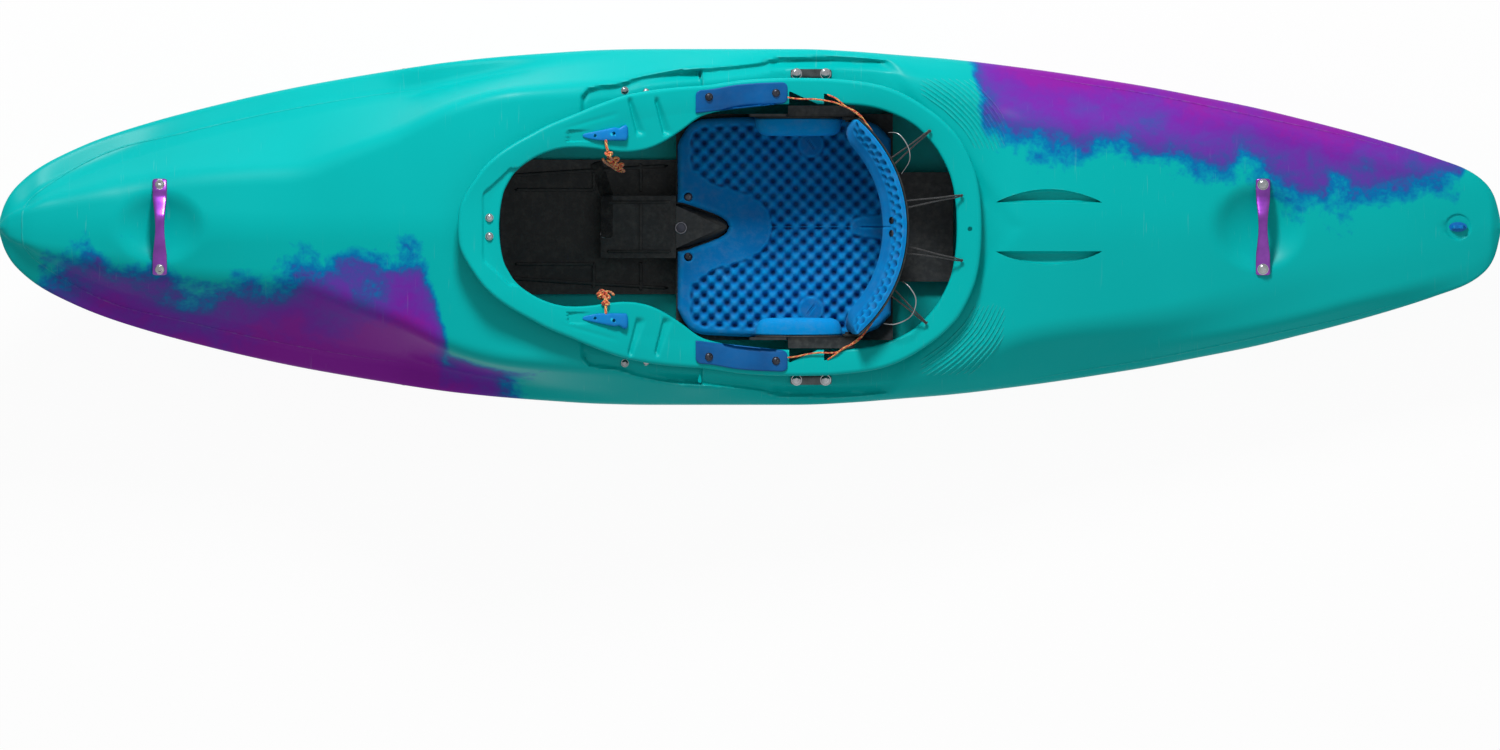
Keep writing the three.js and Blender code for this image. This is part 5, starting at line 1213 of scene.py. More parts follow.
def rim_profile(row):
    outer, inner, across = rim_outer_edge[row], rim_inner_edge[row], rim_across[row]
    turn = np.linspace(0, np.pi / 2, 7)
    r, e, f = 0.0065, 0.005, 0.0043
    neck = LIP_OVERHANG + NECK_WALL
    top = np.linspace(across - f, r, TOP_POINTS)
    crown = 0.001 * np.sin(np.pi * np.clip(top / min(across, 0.05), 0, 1))
    shape = np.vstack([
        np.column_stack([top, -crown]),
        np.column_stack([r - r * np.sin(turn[1:]), r - r * np.cos(turn[1:])]),
        np.column_stack([e - e * np.cos(turn), LIP - e + e * np.sin(turn)]),
        [[LIP_OVERHANG - 0.003, LIP], [LIP_OVERHANG, LIP + 0.003]]])
    under = [[neck, LIP], [(neck + across) / 2, (LIP + FLANGE) / 2], [across - f, FLANGE]]
    inner_turn = np.linspace(0, np.pi, 9)[1:-1]
    edge = np.column_stack([
        across - f + f * np.sin(inner_turn), FLANGE / 2 + FLANGE / 2 * np.cos(inner_turn)])

    def lay(distance, drop):
        return outer + (inner - outer) * distance / across - [0, 0, drop]

    def foot_at(distance):
        point = lay(distance, LIP + 0.002)
        deck_here = dented(point[0], point[1], deck_z(point[0], point[1])) - WALL / 2
        point[2] = min(point[2], deck_here)
        return point

    points = [lay(*s) for s in shape] + [foot_at(LIP_OVERHANG), foot_at(neck)]
    points = np.array(points + [lay(*s) for s in (*under, *edge)])
    points[:, 2] = rim_dents(*points.T)
    return points


rim_rings = [rim_profile(row) for row in range(RIM_ROWS)]
rim = ringed("cockpit_rim", rim_rings, loop=True)
print("rim faces:", len(rim.data.polygons))

# %% The slots for the backband's cords
SLOTS = [(0.0716, 0.126, 0.0225), (0.1354, 0.178, 0.019)]


def slot_tool(side, start, end, wide):
    edge = [rim_inner_line(cockpit_share(x)) * COCKPIT_WIDTH / 2 for x in (start, end)]
    outline = [(start, edge[0] + wide), (start, edge[0] - 0.03), (end, edge[1] - 0.03),
               (end, edge[1] - 0.001), (start + 0.003, edge[0] + wide)]
    return prism("slot_tool", [(x, y * side) for x, y in outline], (0.2, 0.33), smooth=False)


rim_hole = prism("rim_hole", circle(0.4026, -0.0035, 0.0042), (rim_height(0.4026) - 0.008, 0.29))
for part, tools in ((hull, []), (rim, [rim_hole])):
    carved(part, tools + [slot_tool(side, *ends) for side in (1, -1) for ends in SLOTS])
creased(rim, 40)
creased(hull, 60)
print("rim faces after its slots:", len(rim.data.polygons))
for shell_part in (hull, rim):
    dressed(shell_part, shell_plastic, "hull", "shell_plastic", "hull_shell")

# %% [markdown]
# ## Bolts
#
# The 26 bolts are alike but for their size, so Geometry Nodes make them: a dome with a hexagon
# cut into it stands on each point, turned to that bolt's own axis. A turned shape spreads most
# along its axis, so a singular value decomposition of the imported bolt's corners gives the axis.


# %% A tree of bolt heads
def growing_tree(name, *inputs):
    inputs = [("Geometry", GEOMETRY, None), *inputs, ("Finish", "NodeSocketMaterial", None)]
    return group(name, inputs, [("Geometry", GEOMETRY)], "GeometryNodeTree")


def painted_end(tree, start, end, geometry):
    real = node(tree, "GeometryNodeRealizeInstances", {0: geometry})
    painted = node(tree, "GeometryNodeSetMaterial", {
        0: real.outputs[0], "Material": start.outputs["Finish"]})
    put(end.inputs[0], painted.outputs[0])
    return tree


def bolt_tree():
    tree, start, end = growing_tree(
        "bolt_heads", ("Socket Size", FLOAT, 0.44), ("Washer", FLOAT, 1.1))
    dome = node(tree, "GeometryNodeMeshUVSphere", {"Segments": 32, "Rings": 16, "Radius": 1.0})
    key = node(tree, "GeometryNodeMeshCylinder", {
        "Vertices": 6, "Radius": start.outputs["Socket Size"], "Depth": 1.0})
    key = node(tree, "GeometryNodeTransform", {
        0: key.outputs["Mesh"], "Translation": (0, 0, 0.95)})
    head = node(tree, "GeometryNodeMeshBoolean", operation="DIFFERENCE", solver="MANIFOLD")
    tree.links.new(dome.outputs["Mesh"], head.inputs[0])
    tree.links.new(key.outputs[0], head.inputs[1])
    washer = node(tree, "GeometryNodeMeshCylinder", {
        "Vertices": 32, "Radius": start.outputs["Washer"], "Depth": 0.24})
    both = node(tree, "GeometryNodeJoinGeometry")
    tree.links.new(head.outputs["Mesh"], both.inputs[0])
    tree.links.new(washer.outputs["Mesh"], both.inputs[0])
    way, size = (node(tree, "GeometryNodeInputNamedAttribute", {"Name": name},
                      data_type="FLOAT_VECTOR").outputs[0] for name in ("axis", "size"))
    turn = node(tree, "FunctionNodeAlignRotationToVector", {"Vector": way}, axis="Z")
    each = node(tree, "GeometryNodeInstanceOnPoints", {
        "Points": start.outputs["Geometry"], "Instance": both.outputs[0],
        "Rotation": turn.outputs[0], "Scale": size})
    return painted_end(tree, start, end, each.outputs[0])


def grown(name, seed_mesh, tree, **inputs):
    piece = placed(name, seed_mesh)
    maker = piece.modifiers.new("maker", "NODES")
    maker.node_group = tree
    sockets = {s.name: s.identifier for s in tree.interface.items_tree if s.in_out == "INPUT"}
    for label, value in inputs.items():
        maker[sockets[label.replace("_", " ")]] = value
    bpy.context.view_layer.update()
    return applied(piece)


heads = bolt_tree()
print("bolt tree with", len(heads.nodes), "nodes")


# %% Find each bolt's axis and grow the heads
def bolt_place(name):
    corners = [corner.co[:] for corner in frame["nodes"][name].data.vertices]
    spots = np.unique(np.round(corners, 6), axis=0)
    middle = spots.mean(axis=0)
    way = np.linalg.svd(spots - middle)[2][0]
    along = (spots - middle) @ way
    out = np.linalg.norm(spots - middle - along[:, None] * way, axis=1)
    head = out > out.max() * 0.9
    if along[head].mean() < 0:
        way, along = -way, -along
    low = along[head].min()
    return middle + way * low, way, out.max(), along.max() - low


def bolts(name, material, body, slot, nodes, lift=0.0, grow=1.0, **inputs):
    seats, ways, wide, tall = zip(*[bolt_place(n) for n in nodes])
    wide = [w * grow for w in wide]
    ways = [(way + [0, 0, lift]) / np.linalg.norm(way + [0, 0, lift]) for way in ways]
    mesh = bpy.data.meshes.new(name)
    mesh.from_pydata([tuple(s) for s in seats], [], [])
    for label, rows in (("axis", ways), ("size", [(w, w, t) for w, t in zip(wide, tall)])):
        layer = mesh.attributes.new(label, "FLOAT_VECTOR", "POINT")
        layer.data.foreach_set("vector", np.array(rows, np.float32).ravel())
    piece = grown(name, mesh, heads, Finish=material, **inputs)
    creased(piece, 30)
    dressed(piece, material, body, slot, *nodes)
    print(name, len(nodes), "heads,", len(piece.data.polygons), "faces")
    return piece


def both(*stems, ends=("",)):
    return [f"{stem}_{s}{e}" for stem in stems for s, _ in SIDES for e in ends]


TWO_ENDS = ("_front", "_rear")
DARK = {"Socket_Size": 0.36, "Washer": 1.0}
bolts("bright_bolts", steel, "hull", "steel", both("front_rim_bolt") + both(
    "brace_bolt", "side_plate_bolt", "foot_rail_bolt", ends=TWO_ENDS))
bolts("handle_bolts", steel, "hull", "steel", both("bow_handle_bolt", "stern_handle_bolt"),
      grow=1.3)
bolts("dark_screws", black_steel, "hull", "black_steel", both("seat_flap_bolt", ends=TWO_ENDS),
      **DARK)
bolts("seat_screws", black_steel, "hull", "black_steel", both("seat_screw"), grow=1.3, **DARK)
bolts("backband_screws", black_steel, "backband", "black_steel", both("backband_screw"),
      lift=0.7, grow=1.35, **DARK)

# %% [markdown]
# ## Grab handles
#
# Each handle is a forged bar: flat feet for the bolts, a raised bow over the finger well, and a
# narrow waist. Its section is a superellipse, flat on its faces and round on its edges, swept
# across the boat.


# %% Sweep the handles
def eased(count):
    return np.sin(np.linspace(-1, 1, count) * math.pi / 2)


def superellipse(count, power):
    turn = np.arange(count) * math.tau / count
    c, s = np.cos(turn), np.sin(turn)
    return np.sign(c) * np.abs(c) ** (2 / power), np.sign(s) * np.abs(s) ** (2 / power)


HANDLE_LENGTH, HANDLE_HEEL, HANDLE_THICK, HANDLE_RISE = 0.177, 0.0665, 0.006, 0.016
handle_rise = fair([[0, 1], [0.15, 0.995], [0.3, 0.92], [0.45, 0.7], [0.6, 0.43], [0.75, 0.17],
                    [0.88, 0.02], [1, 0]])
handle_width = fair([[0, 0.0168], [0.2, 0.0178], [0.5, 0.0215], [0.75, 0.0255], [1, 0.0265]])


def grab_handle(end, place):
    x, heel = x_at(place), HANDLE_HEEL
    half = HANDLE_LENGTH / 2
    foot = deck_z(x, heel)
    crown = deck_z(x, 0) + HANDLE_RISE - HANDLE_THICK
    across, up = superellipse(28, 3.4)
    rings = []
    for y in half * eased(101):
        out = abs(y)
        base = deck_z(x, out) if out > heel else foot + (crown - foot) * handle_rise(out / heel)
        wide = handle_width(min(out / heel, 1))
        dome = max(1 - max((out - half + 0.006) / 0.006, 0) ** 4, 0.0004) ** 0.25
        lift = base + HANDLE_THICK / 2
        rings.append(stacked(
            x + across * wide / 2 * dome, y, lift + up * HANDLE_THICK / 2 * dome))
    piece = ringed(f"{end}_handle", rings)
    return dressed(piece, purple_metal, "hull", "purple_metal", f"{end}_grab_handle")


for end_name, place in (("bow", BOW_HANDLE), ("stern", STERN_HANDLE)):
    handle = grab_handle(end_name, place)
    print(handle.name, [round(v, 3) for v in handle.dimensions])

# %% [markdown]
# ## Plates beside the rim
#
# A steel plate with rounded corners lies on each shelf beside the rim. It is an outline drawn out
# to its thickness, with its edges rounded by a Bevel modifier.


# %% Two steel plates
def plate_level(x):
    ends = [deck_z(PLATE_X + far, PLATE_Y - PLATE_WIDTH / 2) + 0.003 for far in (0, PLATE_LENGTH)]
    return ends[0] + (ends[1] - ends[0]) * (x - PLATE_X) / PLATE_LENGTH


for side_name, side in SIDES:
    u, v = superellipse(48, 7)
    outline = [(PLATE_X + PLATE_LENGTH / 2 * (1 + a), side * (PLATE_Y + PLATE_WIDTH / 2 * b))
               for a, b in zip(u, v)]
    plate = ringed(f"side_plate_{side_name}_steel", [
        [(x, y, plate_level(x) - down) for x, y in outline] for down in (0.005, 0)], smooth=False)
    creased(beveled(plate, 0.0007, 3), 40)
    dressed(plate, plate_steel, "hull", "steel", f"side_plate_{side_name}")
    print(plate.name, len(plate.data.polygons), "faces")

# %% [markdown]
# ## The seat cushion
#
# The cushion is one slab of closed-cell foam, moulded like an egg box but for a few smooth
# places. Cloth simulation would swell it like a pillow, which foam does not do, so its top is a
# height for every point: rounded edges from the distance to the outline, and hollows from two
# crossed cosines.

# %% The cushion's outline
PAN_TOP = np.array([[0.417, 0.182], [0.5, 0.166], [0.6, 0.121], [0.7, 0.103], [0.77, 0.103],
                    [0.83, 0.121]])
PAD_FROM, PAD_TO, PAD_HALF, PAD_THICK, EDGE = -0.1323, 0.2575, 0.2012, 0.028, 0.01
NOTCH_END, FOAM_END, EGG_PITCH, EGG_DEPTH, SPOT = -0.0392, 0.0408, 0.028, 0.0125, (0.1116, 0.151)
EGG_ENDS, SEAT_SCREW = ((-0.112, -0.104), (0.243, 0.236)), (-0.113, 0.055)
PAD_WIDTH = fair([[0, 0.88], [0.06, 0.97], [0.4, 1], [0.8, 1], [0.93, 0.93], [1, 0.8]])
NOTCH = fair([[-0.1323, 0.0455], [-0.118, 0.0425], [-0.1, 0.0365], [-0.08, 0.0295],
              [-0.06, 0.0215], [-0.048, 0.0145], [-0.0415, 0.0075], [NOTCH_END, 0]])
FOAM_FROM = fair([[-0.116, 0.115], [-0.09, 0.094], [-0.0663, 0.0794], [-0.04, 0.071],
                  [-0.0147, 0.0635], [0.005, 0.054], [0.021, 0.0436], [0.034, 0.025],
                  [FOAM_END, 0]])


def pan_top(x):
    flat = np.interp(cockpit_share(x), *PAN_TOP.T) * HEIGHT
    near = [np.interp(cockpit_share(x + d), *PAN_TOP.T) * HEIGHT for d in (-0.008, 0.008)]
    return (flat * 2 + sum(near)) / 4


def pad_half(x):
    t = np.clip((x - PAD_FROM) / (PAD_TO - PAD_FROM), 0, 1)
    corner = np.clip((x - PAD_FROM) / 0.05, 0, 1)
    wide = PAD_HALF * PAD_WIDTH(t)
    return wide - (wide - 0.146) * (1 - np.sqrt(1 - (1 - corner) ** 2)) * (corner < 1)


def spread(start, end, count, edge=EDGE):
    near = np.array([0, 0.03, 0.12, 0.27, 0.48, 0.72]) * edge
    inner = np.linspace(start + edge, end - edge, count)
    return np.concatenate([start + near, inner, end - near[::-1]])


pad_x = spread(PAD_FROM, PAD_TO, 168)
COLUMNS = 92
print("cushion rows:", len(pad_x))


# %% The cushion's top
def outline_distance(x, y):
    edge_x = np.linspace(PAD_FROM, PAD_TO, 900)
    side = np.column_stack([edge_x, pad_half(edge_x)])
    cleft_x = np.linspace(PAD_FROM, NOTCH_END, 160)
    cleft = np.column_stack([cleft_x, NOTCH(cleft_x)])
    front = [[PAD_FROM, v] for v in np.linspace(NOTCH(PAD_FROM), pad_half(PAD_FROM), 90)]
    rear = [[PAD_TO, v] for v in np.linspace(0, pad_half(PAD_TO), 120)]
    edge = np.vstack([side, cleft, front, rear])
    spots = np.column_stack([x.ravel(), y.ravel()])
    near = [np.hypot(*(edge[:, None] - part[None]).transpose(2, 0, 1)).min(axis=0)
            for part in np.array_split(spots, 60)]
    return np.concatenate(near).reshape(x.shape)


def cushion_top(x, y, away):
    inner = np.clip(away / EDGE, 0, 1)
    rounding = EDGE * (1 - np.sqrt(1 - (1 - inner) ** 2))
    dish = 0.004 * step(0.2, 0.06, y) * step(-0.13, -0.05, x)
    egg = step(0.012, 0.019, away) * step(*EGG_ENDS[0], x) * step(*EGG_ENDS[1], x)
    egg = egg * step(-0.004, 0.004, y - np.where(x < FOAM_END, FOAM_FROM(x), -1))
    for spot_x, spot_y, size in ((*SPOT, 0.021), (0.2, 0, 0.014)):
        egg = egg * step(size, size + 0.007, np.hypot(x - spot_x, y - spot_y))
    egg = egg * step(-0.003, 0.003, y - 0.021 * np.sqrt(np.clip((x - 0.192) / 0.03, 0, 1)))
    wave = np.cos(math.tau * x / EGG_PITCH) * np.cos(math.tau * y / EGG_PITCH)
    hollow = EGG_DEPTH * ((1 - wave) / 2) ** 1.5
    slit = 0.004 * np.exp(-(y / 0.0012) ** 2) * step(0.2, 0.206, x)
    mark = np.abs((x - SPOT[0]) * 0.8 + (y - SPOT[1]) * 0.6)
    mark = 0.002 * np.exp(-(mark / 0.0011) ** 2) * step(0.012, 0.009, np.hypot(
        x - SPOT[0], y - SPOT[1]))
    screw = 0.0034 * step(0.0092, 0.0072, np.hypot(x - SEAT_SCREW[0], y - SEAT_SCREW[1]))
    return PAD_THICK - rounding - dish - hollow * egg - slit - mark - screw


def seat_cushion():
    points, faces = [], []
    for side in (1, -1):
        inner = NOTCH(pad_x) * (pad_x < NOTCH_END)
        rows = np.array([spread(a, b, COLUMNS - 12) for a, b in zip(inner, pad_half(pad_x))])
        x = np.repeat(pad_x[:, None], COLUMNS, axis=1)
        top = cushion_top(x, rows, outline_distance(x, rows))
        base = pan_top(x) + 0.0003
        start = len(points)
        size = x.size
        for level in (base + top, base):
            points += np.column_stack([x.ravel(), side * rows.ravel(), level.ravel()]).tolist()
        grid = grid_faces(len(pad_x), COLUMNS, wrap_columns=False) + start
        turned_over = side < 0
        faces += [f[::-1] if turned_over else f for f in grid.tolist()]
        faces += [f if turned_over else f[::-1] for f in (grid + size).tolist()]
        last = len(pad_x) - 1
        edges = [(r * COLUMNS + COLUMNS - 1, (r + 1) * COLUMNS + COLUMNS - 1) for r in range(last)]
        edges += [((r + 1) * COLUMNS, r * COLUMNS) for r in range(last) if pad_x[r] < -0.0395]
        edges += [(c, c + 1) for c in range(COLUMNS - 1)]
        edges += [(last * COLUMNS + c + 1, last * COLUMNS + c) for c in range(COLUMNS - 1)]
        for a, b in edges:
            face = [start + a, start + b, start + b + size, start + a + size]
            faces.append(face if turned_over else face[::-1])
    return points, faces


points, faces = seat_cushion()
cushion = skin("seat_cushion", points, faces)
cleaner = bmesh.new()
cleaner.from_mesh(cushion.data)
bmesh.ops.remove_doubles(cleaner, verts=cleaner.verts, dist=1e-6)
bmesh.ops.recalc_face_normals(cleaner, faces=cleaner.faces)
loose = [e for e in cleaner.edges if not e.is_manifold]
cleaner.to_mesh(cushion.data)
cleaner.free()
cushion.data.shade_smooth()
print("cushion faces:", len(cushion.data.polygons), "open edges:", len(loose))
dressed(cushion, blue_foam, "hull", "blue_foam", "seat_pad")

# %% [markdown]
# ## The backband
#
# A thin stiff shell carries a thick foam pad with rows of hollows. Both are swept round an arc:
# the same upright section, moved along the arc, leaning back, and thinned at the pad's two ends.

# %% The backband's section and its arc
BAND_RADIUS, BAND_LOW, BAND_HIGH, BAND_LEAN = 0.2645, 0.165, 0.313, 0.015
PIVOT_X, PIVOT_Z, HOLLOW_PITCH = 0.1792, 0.205, 0.0185
BAND_X, FRAME_THICK = 0.0278, 0.0052
BAND_SECTION = fair([[0, 0.011], [0.03, 0.0185], [0.09, 0.0265], [0.2, 0.031], [0.45, 0.036],
                     [0.62, 0.0385], [0.7, 0.0395], [0.76, 0.0355], [0.8, 0.031],
                     [0.845, 0.0262], [0.885, 0.0232], [0.945, 0.0168], [0.985, 0.0115],
                     [1, 0.0085]])


def band_point(turn, inward, z):
    radius = BAND_RADIUS - inward
    lean = (z - BAND_HIGH) * BAND_LEAN / (BAND_HIGH - BAND_LOW)
    return BAND_X + lean + radius * np.cos(turn), radius * np.sin(turn), z


def pad_section(turn, reach):
    t = np.linspace(0, 1, 84)
    z = BAND_LOW + (BAND_HIGH - BAND_LOW) * t
    end = np.clip((reach - abs(turn)) / math.radians(7), 0, 1)
    thin = math.sqrt(max(1 - (1 - end) ** 2, 0.0))
    deep = BAND_SECTION(t) * (0.25 + 0.75 * thin)
    arc = BAND_RADIUS * turn
    for middle, spread_t, depth, shift in ((0.955, 0.03, 0.0095, 0), (0.89, 0.022, 0.007, 0.5)):
        near = (arc / HOLLOW_PITCH + shift + 0.5) % 1 - 0.5
        hollow = np.exp(-((near * HOLLOW_PITCH / 0.006) ** 2) - ((t - middle) / spread_t) ** 2)
        deep = deep - depth * hollow * thin
    groove = np.exp(-((t - 0.868) / 0.006) ** 2) * 0.0016
    slit = 0.002 * np.exp(-(arc / 0.0012) ** 2) * step(0.86, 0.8, t)
    inner = band_point(turn, FRAME_THICK + np.maximum(deep - groove - slit, 0.001), z)
    top = np.linspace(0.84, 0.06, 7) * deep[-1] + FRAME_THICK
    back_z = np.linspace(BAND_HIGH - 0.0006, BAND_LOW + 0.0006, 16)
    over = band_point(turn, top, BAND_HIGH + 0.0003)
    back = band_point(turn, FRAME_THICK, back_z)
    under = band_point(turn, np.linspace(0.1, 0.85, 6) * deep[0] + FRAME_THICK, BAND_LOW)
    return np.vstack([stacked(*p) for p in (inner, over, back, under)])


PAD_REACH = math.radians(49.2)
rings = [pad_section(turn, PAD_REACH) for turn in PAD_REACH * np.linspace(-1, 1, 331)]
band_cushion = ringed("backband_cushion", rings)
band_cushion.data.shade_smooth()
dressed(band_cushion, blue_foam, "backband", "blue_foam", "backband_pad")
print("backband cushion faces:", len(band_cushion.data.polygons))


# %% The stiff shell and its ears
def shell_section(turn):
    across, up = superellipse(36, 5)
    z = (BAND_LOW + BAND_HIGH) / 2 + up * (BAND_HIGH - BAND_LOW) / 2
    return np.column_stack(band_point(turn, 0.0025 + across * 0.0025, z))


SHELL_REACH = math.radians(49)
band_shell = ringed("backband_frame", [
    shell_section(t) for t in SHELL_REACH * np.linspace(-1, 1, 121)])
ears = []
for side in (1, -1):
    u, v = superellipse(40, 4)
    outline = [(PIVOT_X + 0.0053 + 0.016 * a, PIVOT_Z + 0.0145 * b) for a, b in zip(u, v)]
    ear = crosswise("ear", outline, (side * 0.1956, side * 0.2013), smooth=False)
    ear = beveled(ear, 0.0012, 3)
    bore = crosswise("bore", circle(PIVOT_X, PIVOT_Z, 0.0056, 32), (side * 0.18, side * 0.22))
    ears.append(carved(ear, [bore]))
carved(band_shell, ears, "UNION")
creased(band_shell, 40)
dressed(band_shell, black_plastic, "backband", "black_plastic", "backband_shell")
print("backband shell faces:", len(band_shell.data.polygons))

# %% [markdown]
# ## Hip pads
#
# A pillow of foam sits in a black tray on each hip plate. It is a stack of rounded outlines, full
# size at the back and drawn in along a quarter of an ellipse towards the paddler.

# %% Pads and trays
HIP_FROM, HIP_TO, HIP_LOW, HIP_HIGH = 0.0072, 0.1712, 0.096, 0.18


def pillow(name, side, outer, inner, margin, power, crown):
    u, v = superellipse(64, power)
    middle = ((HIP_FROM + HIP_TO) / 2, (HIP_LOW + HIP_HIGH) / 2)
    half = ((HIP_TO - HIP_FROM) / 2 - margin, (HIP_HIGH - HIP_LOW) / 2 - margin)
    rings = []
    for a in np.concatenate([[-0.12, -0.05], np.linspace(0, 1, 26) ** 0.8]):
        drawn = (1 - max(a, 0) ** 2) ** crown if a < 1 else 0.02
        drawn = max(drawn, 0.02) * (1 + min(a, 0) * 0.5)
        y = outer + (inner - outer) * max(a, -0.12 * (outer < inner))
        pinch = 1 - 0.02 * np.cos(4 * np.arctan2(v, u)) * (a > 0)
        rings.append(stacked(middle[0] + half[0] * u * drawn * pinch, side * y,
                             middle[1] + half[1] * v * drawn * pinch))
    return ringed(name, rings)


for side_name, side in SIDES:
    pad = pillow(f"hip_pad_{side_name}_foam", side, outer=0.198, inner=0.1657, margin=0.0015,
                 power=3.8, crown=0.11)
    tray = pillow(f"hip_tray_{side_name}", side, outer=0.2014, inner=0.1965, margin=0.0,
                  power=4.5, crown=0.12)
    dressed(pad, hip_foam, "hull", "blue_foam", f"hip_pad_{side_name}")
    dressed(tray, black_plastic, "hull", "black_plastic", f"hip_pad_{side_name}")
    print(pad.name, len(pad.data.polygons), "faces")

# %% [markdown]
# ## What lies on the rim
#
# Flaps, cleats and cords rest on the rim, which curves in two directions. A ray that falls
# straight down on the finished rim gives its height anywhere.


# %% The height of the rim and the deck at a point
def ray_tree(piece):
    return BVHTree.FromPolygons([v.co[:] for v in piece.data.vertices],
                                [f.vertices[:] for f in piece.data.polygons])


def fallen(rays, x, y, top=1.0):
    return rays.ray_cast(Vector((x, y, top)), Vector((0, 0, -1)))[0]


rim_rays, hull_rays = ray_tree(rim), ray_tree(hull)


def rim_z(x, y, otherwise=None):
    hit = fallen(rim_rays, x, y)
    return hit.z if hit else otherwise


print("rim height at the cleats:", round(rim_z(-0.26, 0.17), 4))

# %% [markdown]
# ## Seat flaps
#
# A dark blue flap is bolted over the rim on each side and holds the seat up. It is a sheet that
# lies on the rim, joined by a boolean to a lip that hangs down inside.

# %% Two flaps
FLAP_FROM, FLAP_TO, FLAP_THICK, FLAP_CORNER = -0.0995, 0.0688, 0.004, 0.13


def flap_outer(x):
    return rim_outer(x) - 0.0068 - 0.0012


def flap_inner(x):
    return 0.2078 + 0.0185 * (x - FLAP_FROM) / (FLAP_TO - FLAP_FROM)


def flap(side):
    rows, columns = 57, 25
    top, under = [], []
    for s in eased(rows):
        for t in eased(columns):
            past = max(abs(t) - 0.5, 0) / 0.5
            narrowed = 1 - FLAP_CORNER * (1 - math.sqrt(1 - past * past)) * (t > 0 or s > 0)
            x = (FLAP_FROM + FLAP_TO) / 2 + (FLAP_TO - FLAP_FROM) / 2 * s * narrowed
            outer, inner = flap_outer(x), flap_inner(x)
            y = inner + (outer - inner) * (t + 1) / 2
            z = rim_z(x, y * side, rim_height(x))
            near = min(1 - abs(s), 0.04) / 0.04, min(1 - abs(t), 0.1) / 0.1
            drop = 0.0014 * ((1 - near[0]) ** 2 + (1 - near[1]) ** 2)
            seam = y - inner - 0.005 - 0.0012 * math.sin(x * 900)
            stitch = 0.0007 * math.exp(-(seam / 0.0008) ** 2)
            top.append((x, y * side, z + FLAP_THICK - drop - stitch))
            under.append((x, y * side, z + 0.0002))
    grid = grid_faces(rows, columns, wrap_columns=False)
    size = rows * columns
    loop = list(range(columns)) + [r * columns + columns - 1 for r in range(1, rows)]
    loop += [(rows - 1) * columns + c for c in range(columns - 2, -1, -1)]
    loop += [r * columns for r in range(rows - 2, 0, -1)]
    faces = grid.tolist() + (grid[:, ::-1] + size).tolist()
    faces += [[b, a, a + size, b + size] for a, b in zip(loop, loop[1:] + loop[:1])]
    if volume(top + under, faces) < 0:
        faces = [f[::-1] for f in faces]
    sheet = skin("flap", top + under, faces)
    lip_rings = []
    for x in np.linspace(-0.0008, FLAP_TO - 0.012, 24):
        inner = flap_inner(x) + 0.003
        high = rim_z(x, inner * side, rim_height(x)) + FLAP_THICK - 0.0012
        u, v = superellipse(24, 5)
        end = min(x + 0.0008, FLAP_TO - 0.012 - x) / 0.006
        drop = 0.024 - 0.004 * (1 - min(end, 1)) ** 2
        lip_rings.append(stacked(x, side * (inner + 0.0026 * u), high - drop / 2 + v * drop / 2))
    return carved(sheet, [ringed("lip", lip_rings)], "UNION")


for side_name, side in SIDES:
    piece = flap(side)
    piece.name = piece.data.name = f"rim_flap_{side_name}"
    creased(piece, 45)
    dressed(piece, flap_plastic, "hull", "flap_plastic", f"seat_flap_{side_name}")
    print(piece.name, len(piece.data.polygons), "faces")

# %% [markdown]
# ## Cleats
#
# A cleat is a wedge that narrows to a point, where the cord is pulled in and jams. It is swept
# along the rim with a rounded section, and its two eyes are cut with booleans.

# %% Two cleats
CLEAT_FROM, CLEAT_TO, CLEAT_NOSE, CLEAT_TAIL = -0.3065, -0.2226, (0.1645, 0.17), (0.158, 0.188)


def cleat_sides(t):
    bulge = math.sin(min(t / 0.45, 1) * math.pi / 2)
    return (CLEAT_NOSE[0] + (CLEAT_TAIL[0] - CLEAT_NOSE[0]) * bulge,
            CLEAT_NOSE[1] + (CLEAT_TAIL[1] - CLEAT_NOSE[1]) * t)


def cleat(side):
    rings = []
    u, v = superellipse(32, 3.6)
    for t in eased(41) / 2 + 0.5:
        x = CLEAT_FROM + (CLEAT_TO - CLEAT_FROM) * t
        inner, outer = cleat_sides(t)
        notch = 0.0035 * math.exp(-((t - 0.8) / 0.06) ** 2)
        tall = (0.005 + 0.009 * t) * (1 - 0.35 * math.exp(-((t - 0.05) / 0.09) ** 2))
        end = min(t, 1 - t) / 0.06
        closing = math.sqrt(max(1 - (1 - min(end, 1)) ** 2, 0.02))
        middle, half = (inner + outer - notch) / 2, (outer - notch - inner) / 2
        base = rim_z(x, middle * side) - 0.001
        rings.append(stacked(x, side * (middle + half * u * closing),
                             base + tall / 2 + v * tall / 2 * closing))
    body = ringed("cleat", rings)
    cuts = []
    for x, wide, far in ((-0.2835, 0.0028, 0.5), (-0.249, 0.003, 0.55)):
        inner, outer = cleat_sides((x - CLEAT_FROM) / (CLEAT_TO - CLEAT_FROM))
        y = side * (inner + (outer - inner) * far)
        cuts.append(prism("eye", circle(x, y, wide), (0.3, 0.42)))
    carved(body, cuts)
    return creased(beveled(body, 0.0005, 2, 50), 50)


for side_name, side in SIDES:
    piece = cleat(side)
    piece.name = piece.data.name = f"cleat_{side_name}"
    dressed(piece, blue_plastic, "hull", "blue_plastic", f"cord_cleat_{side_name}")
    print(piece.name, len(piece.data.polygons), "faces")
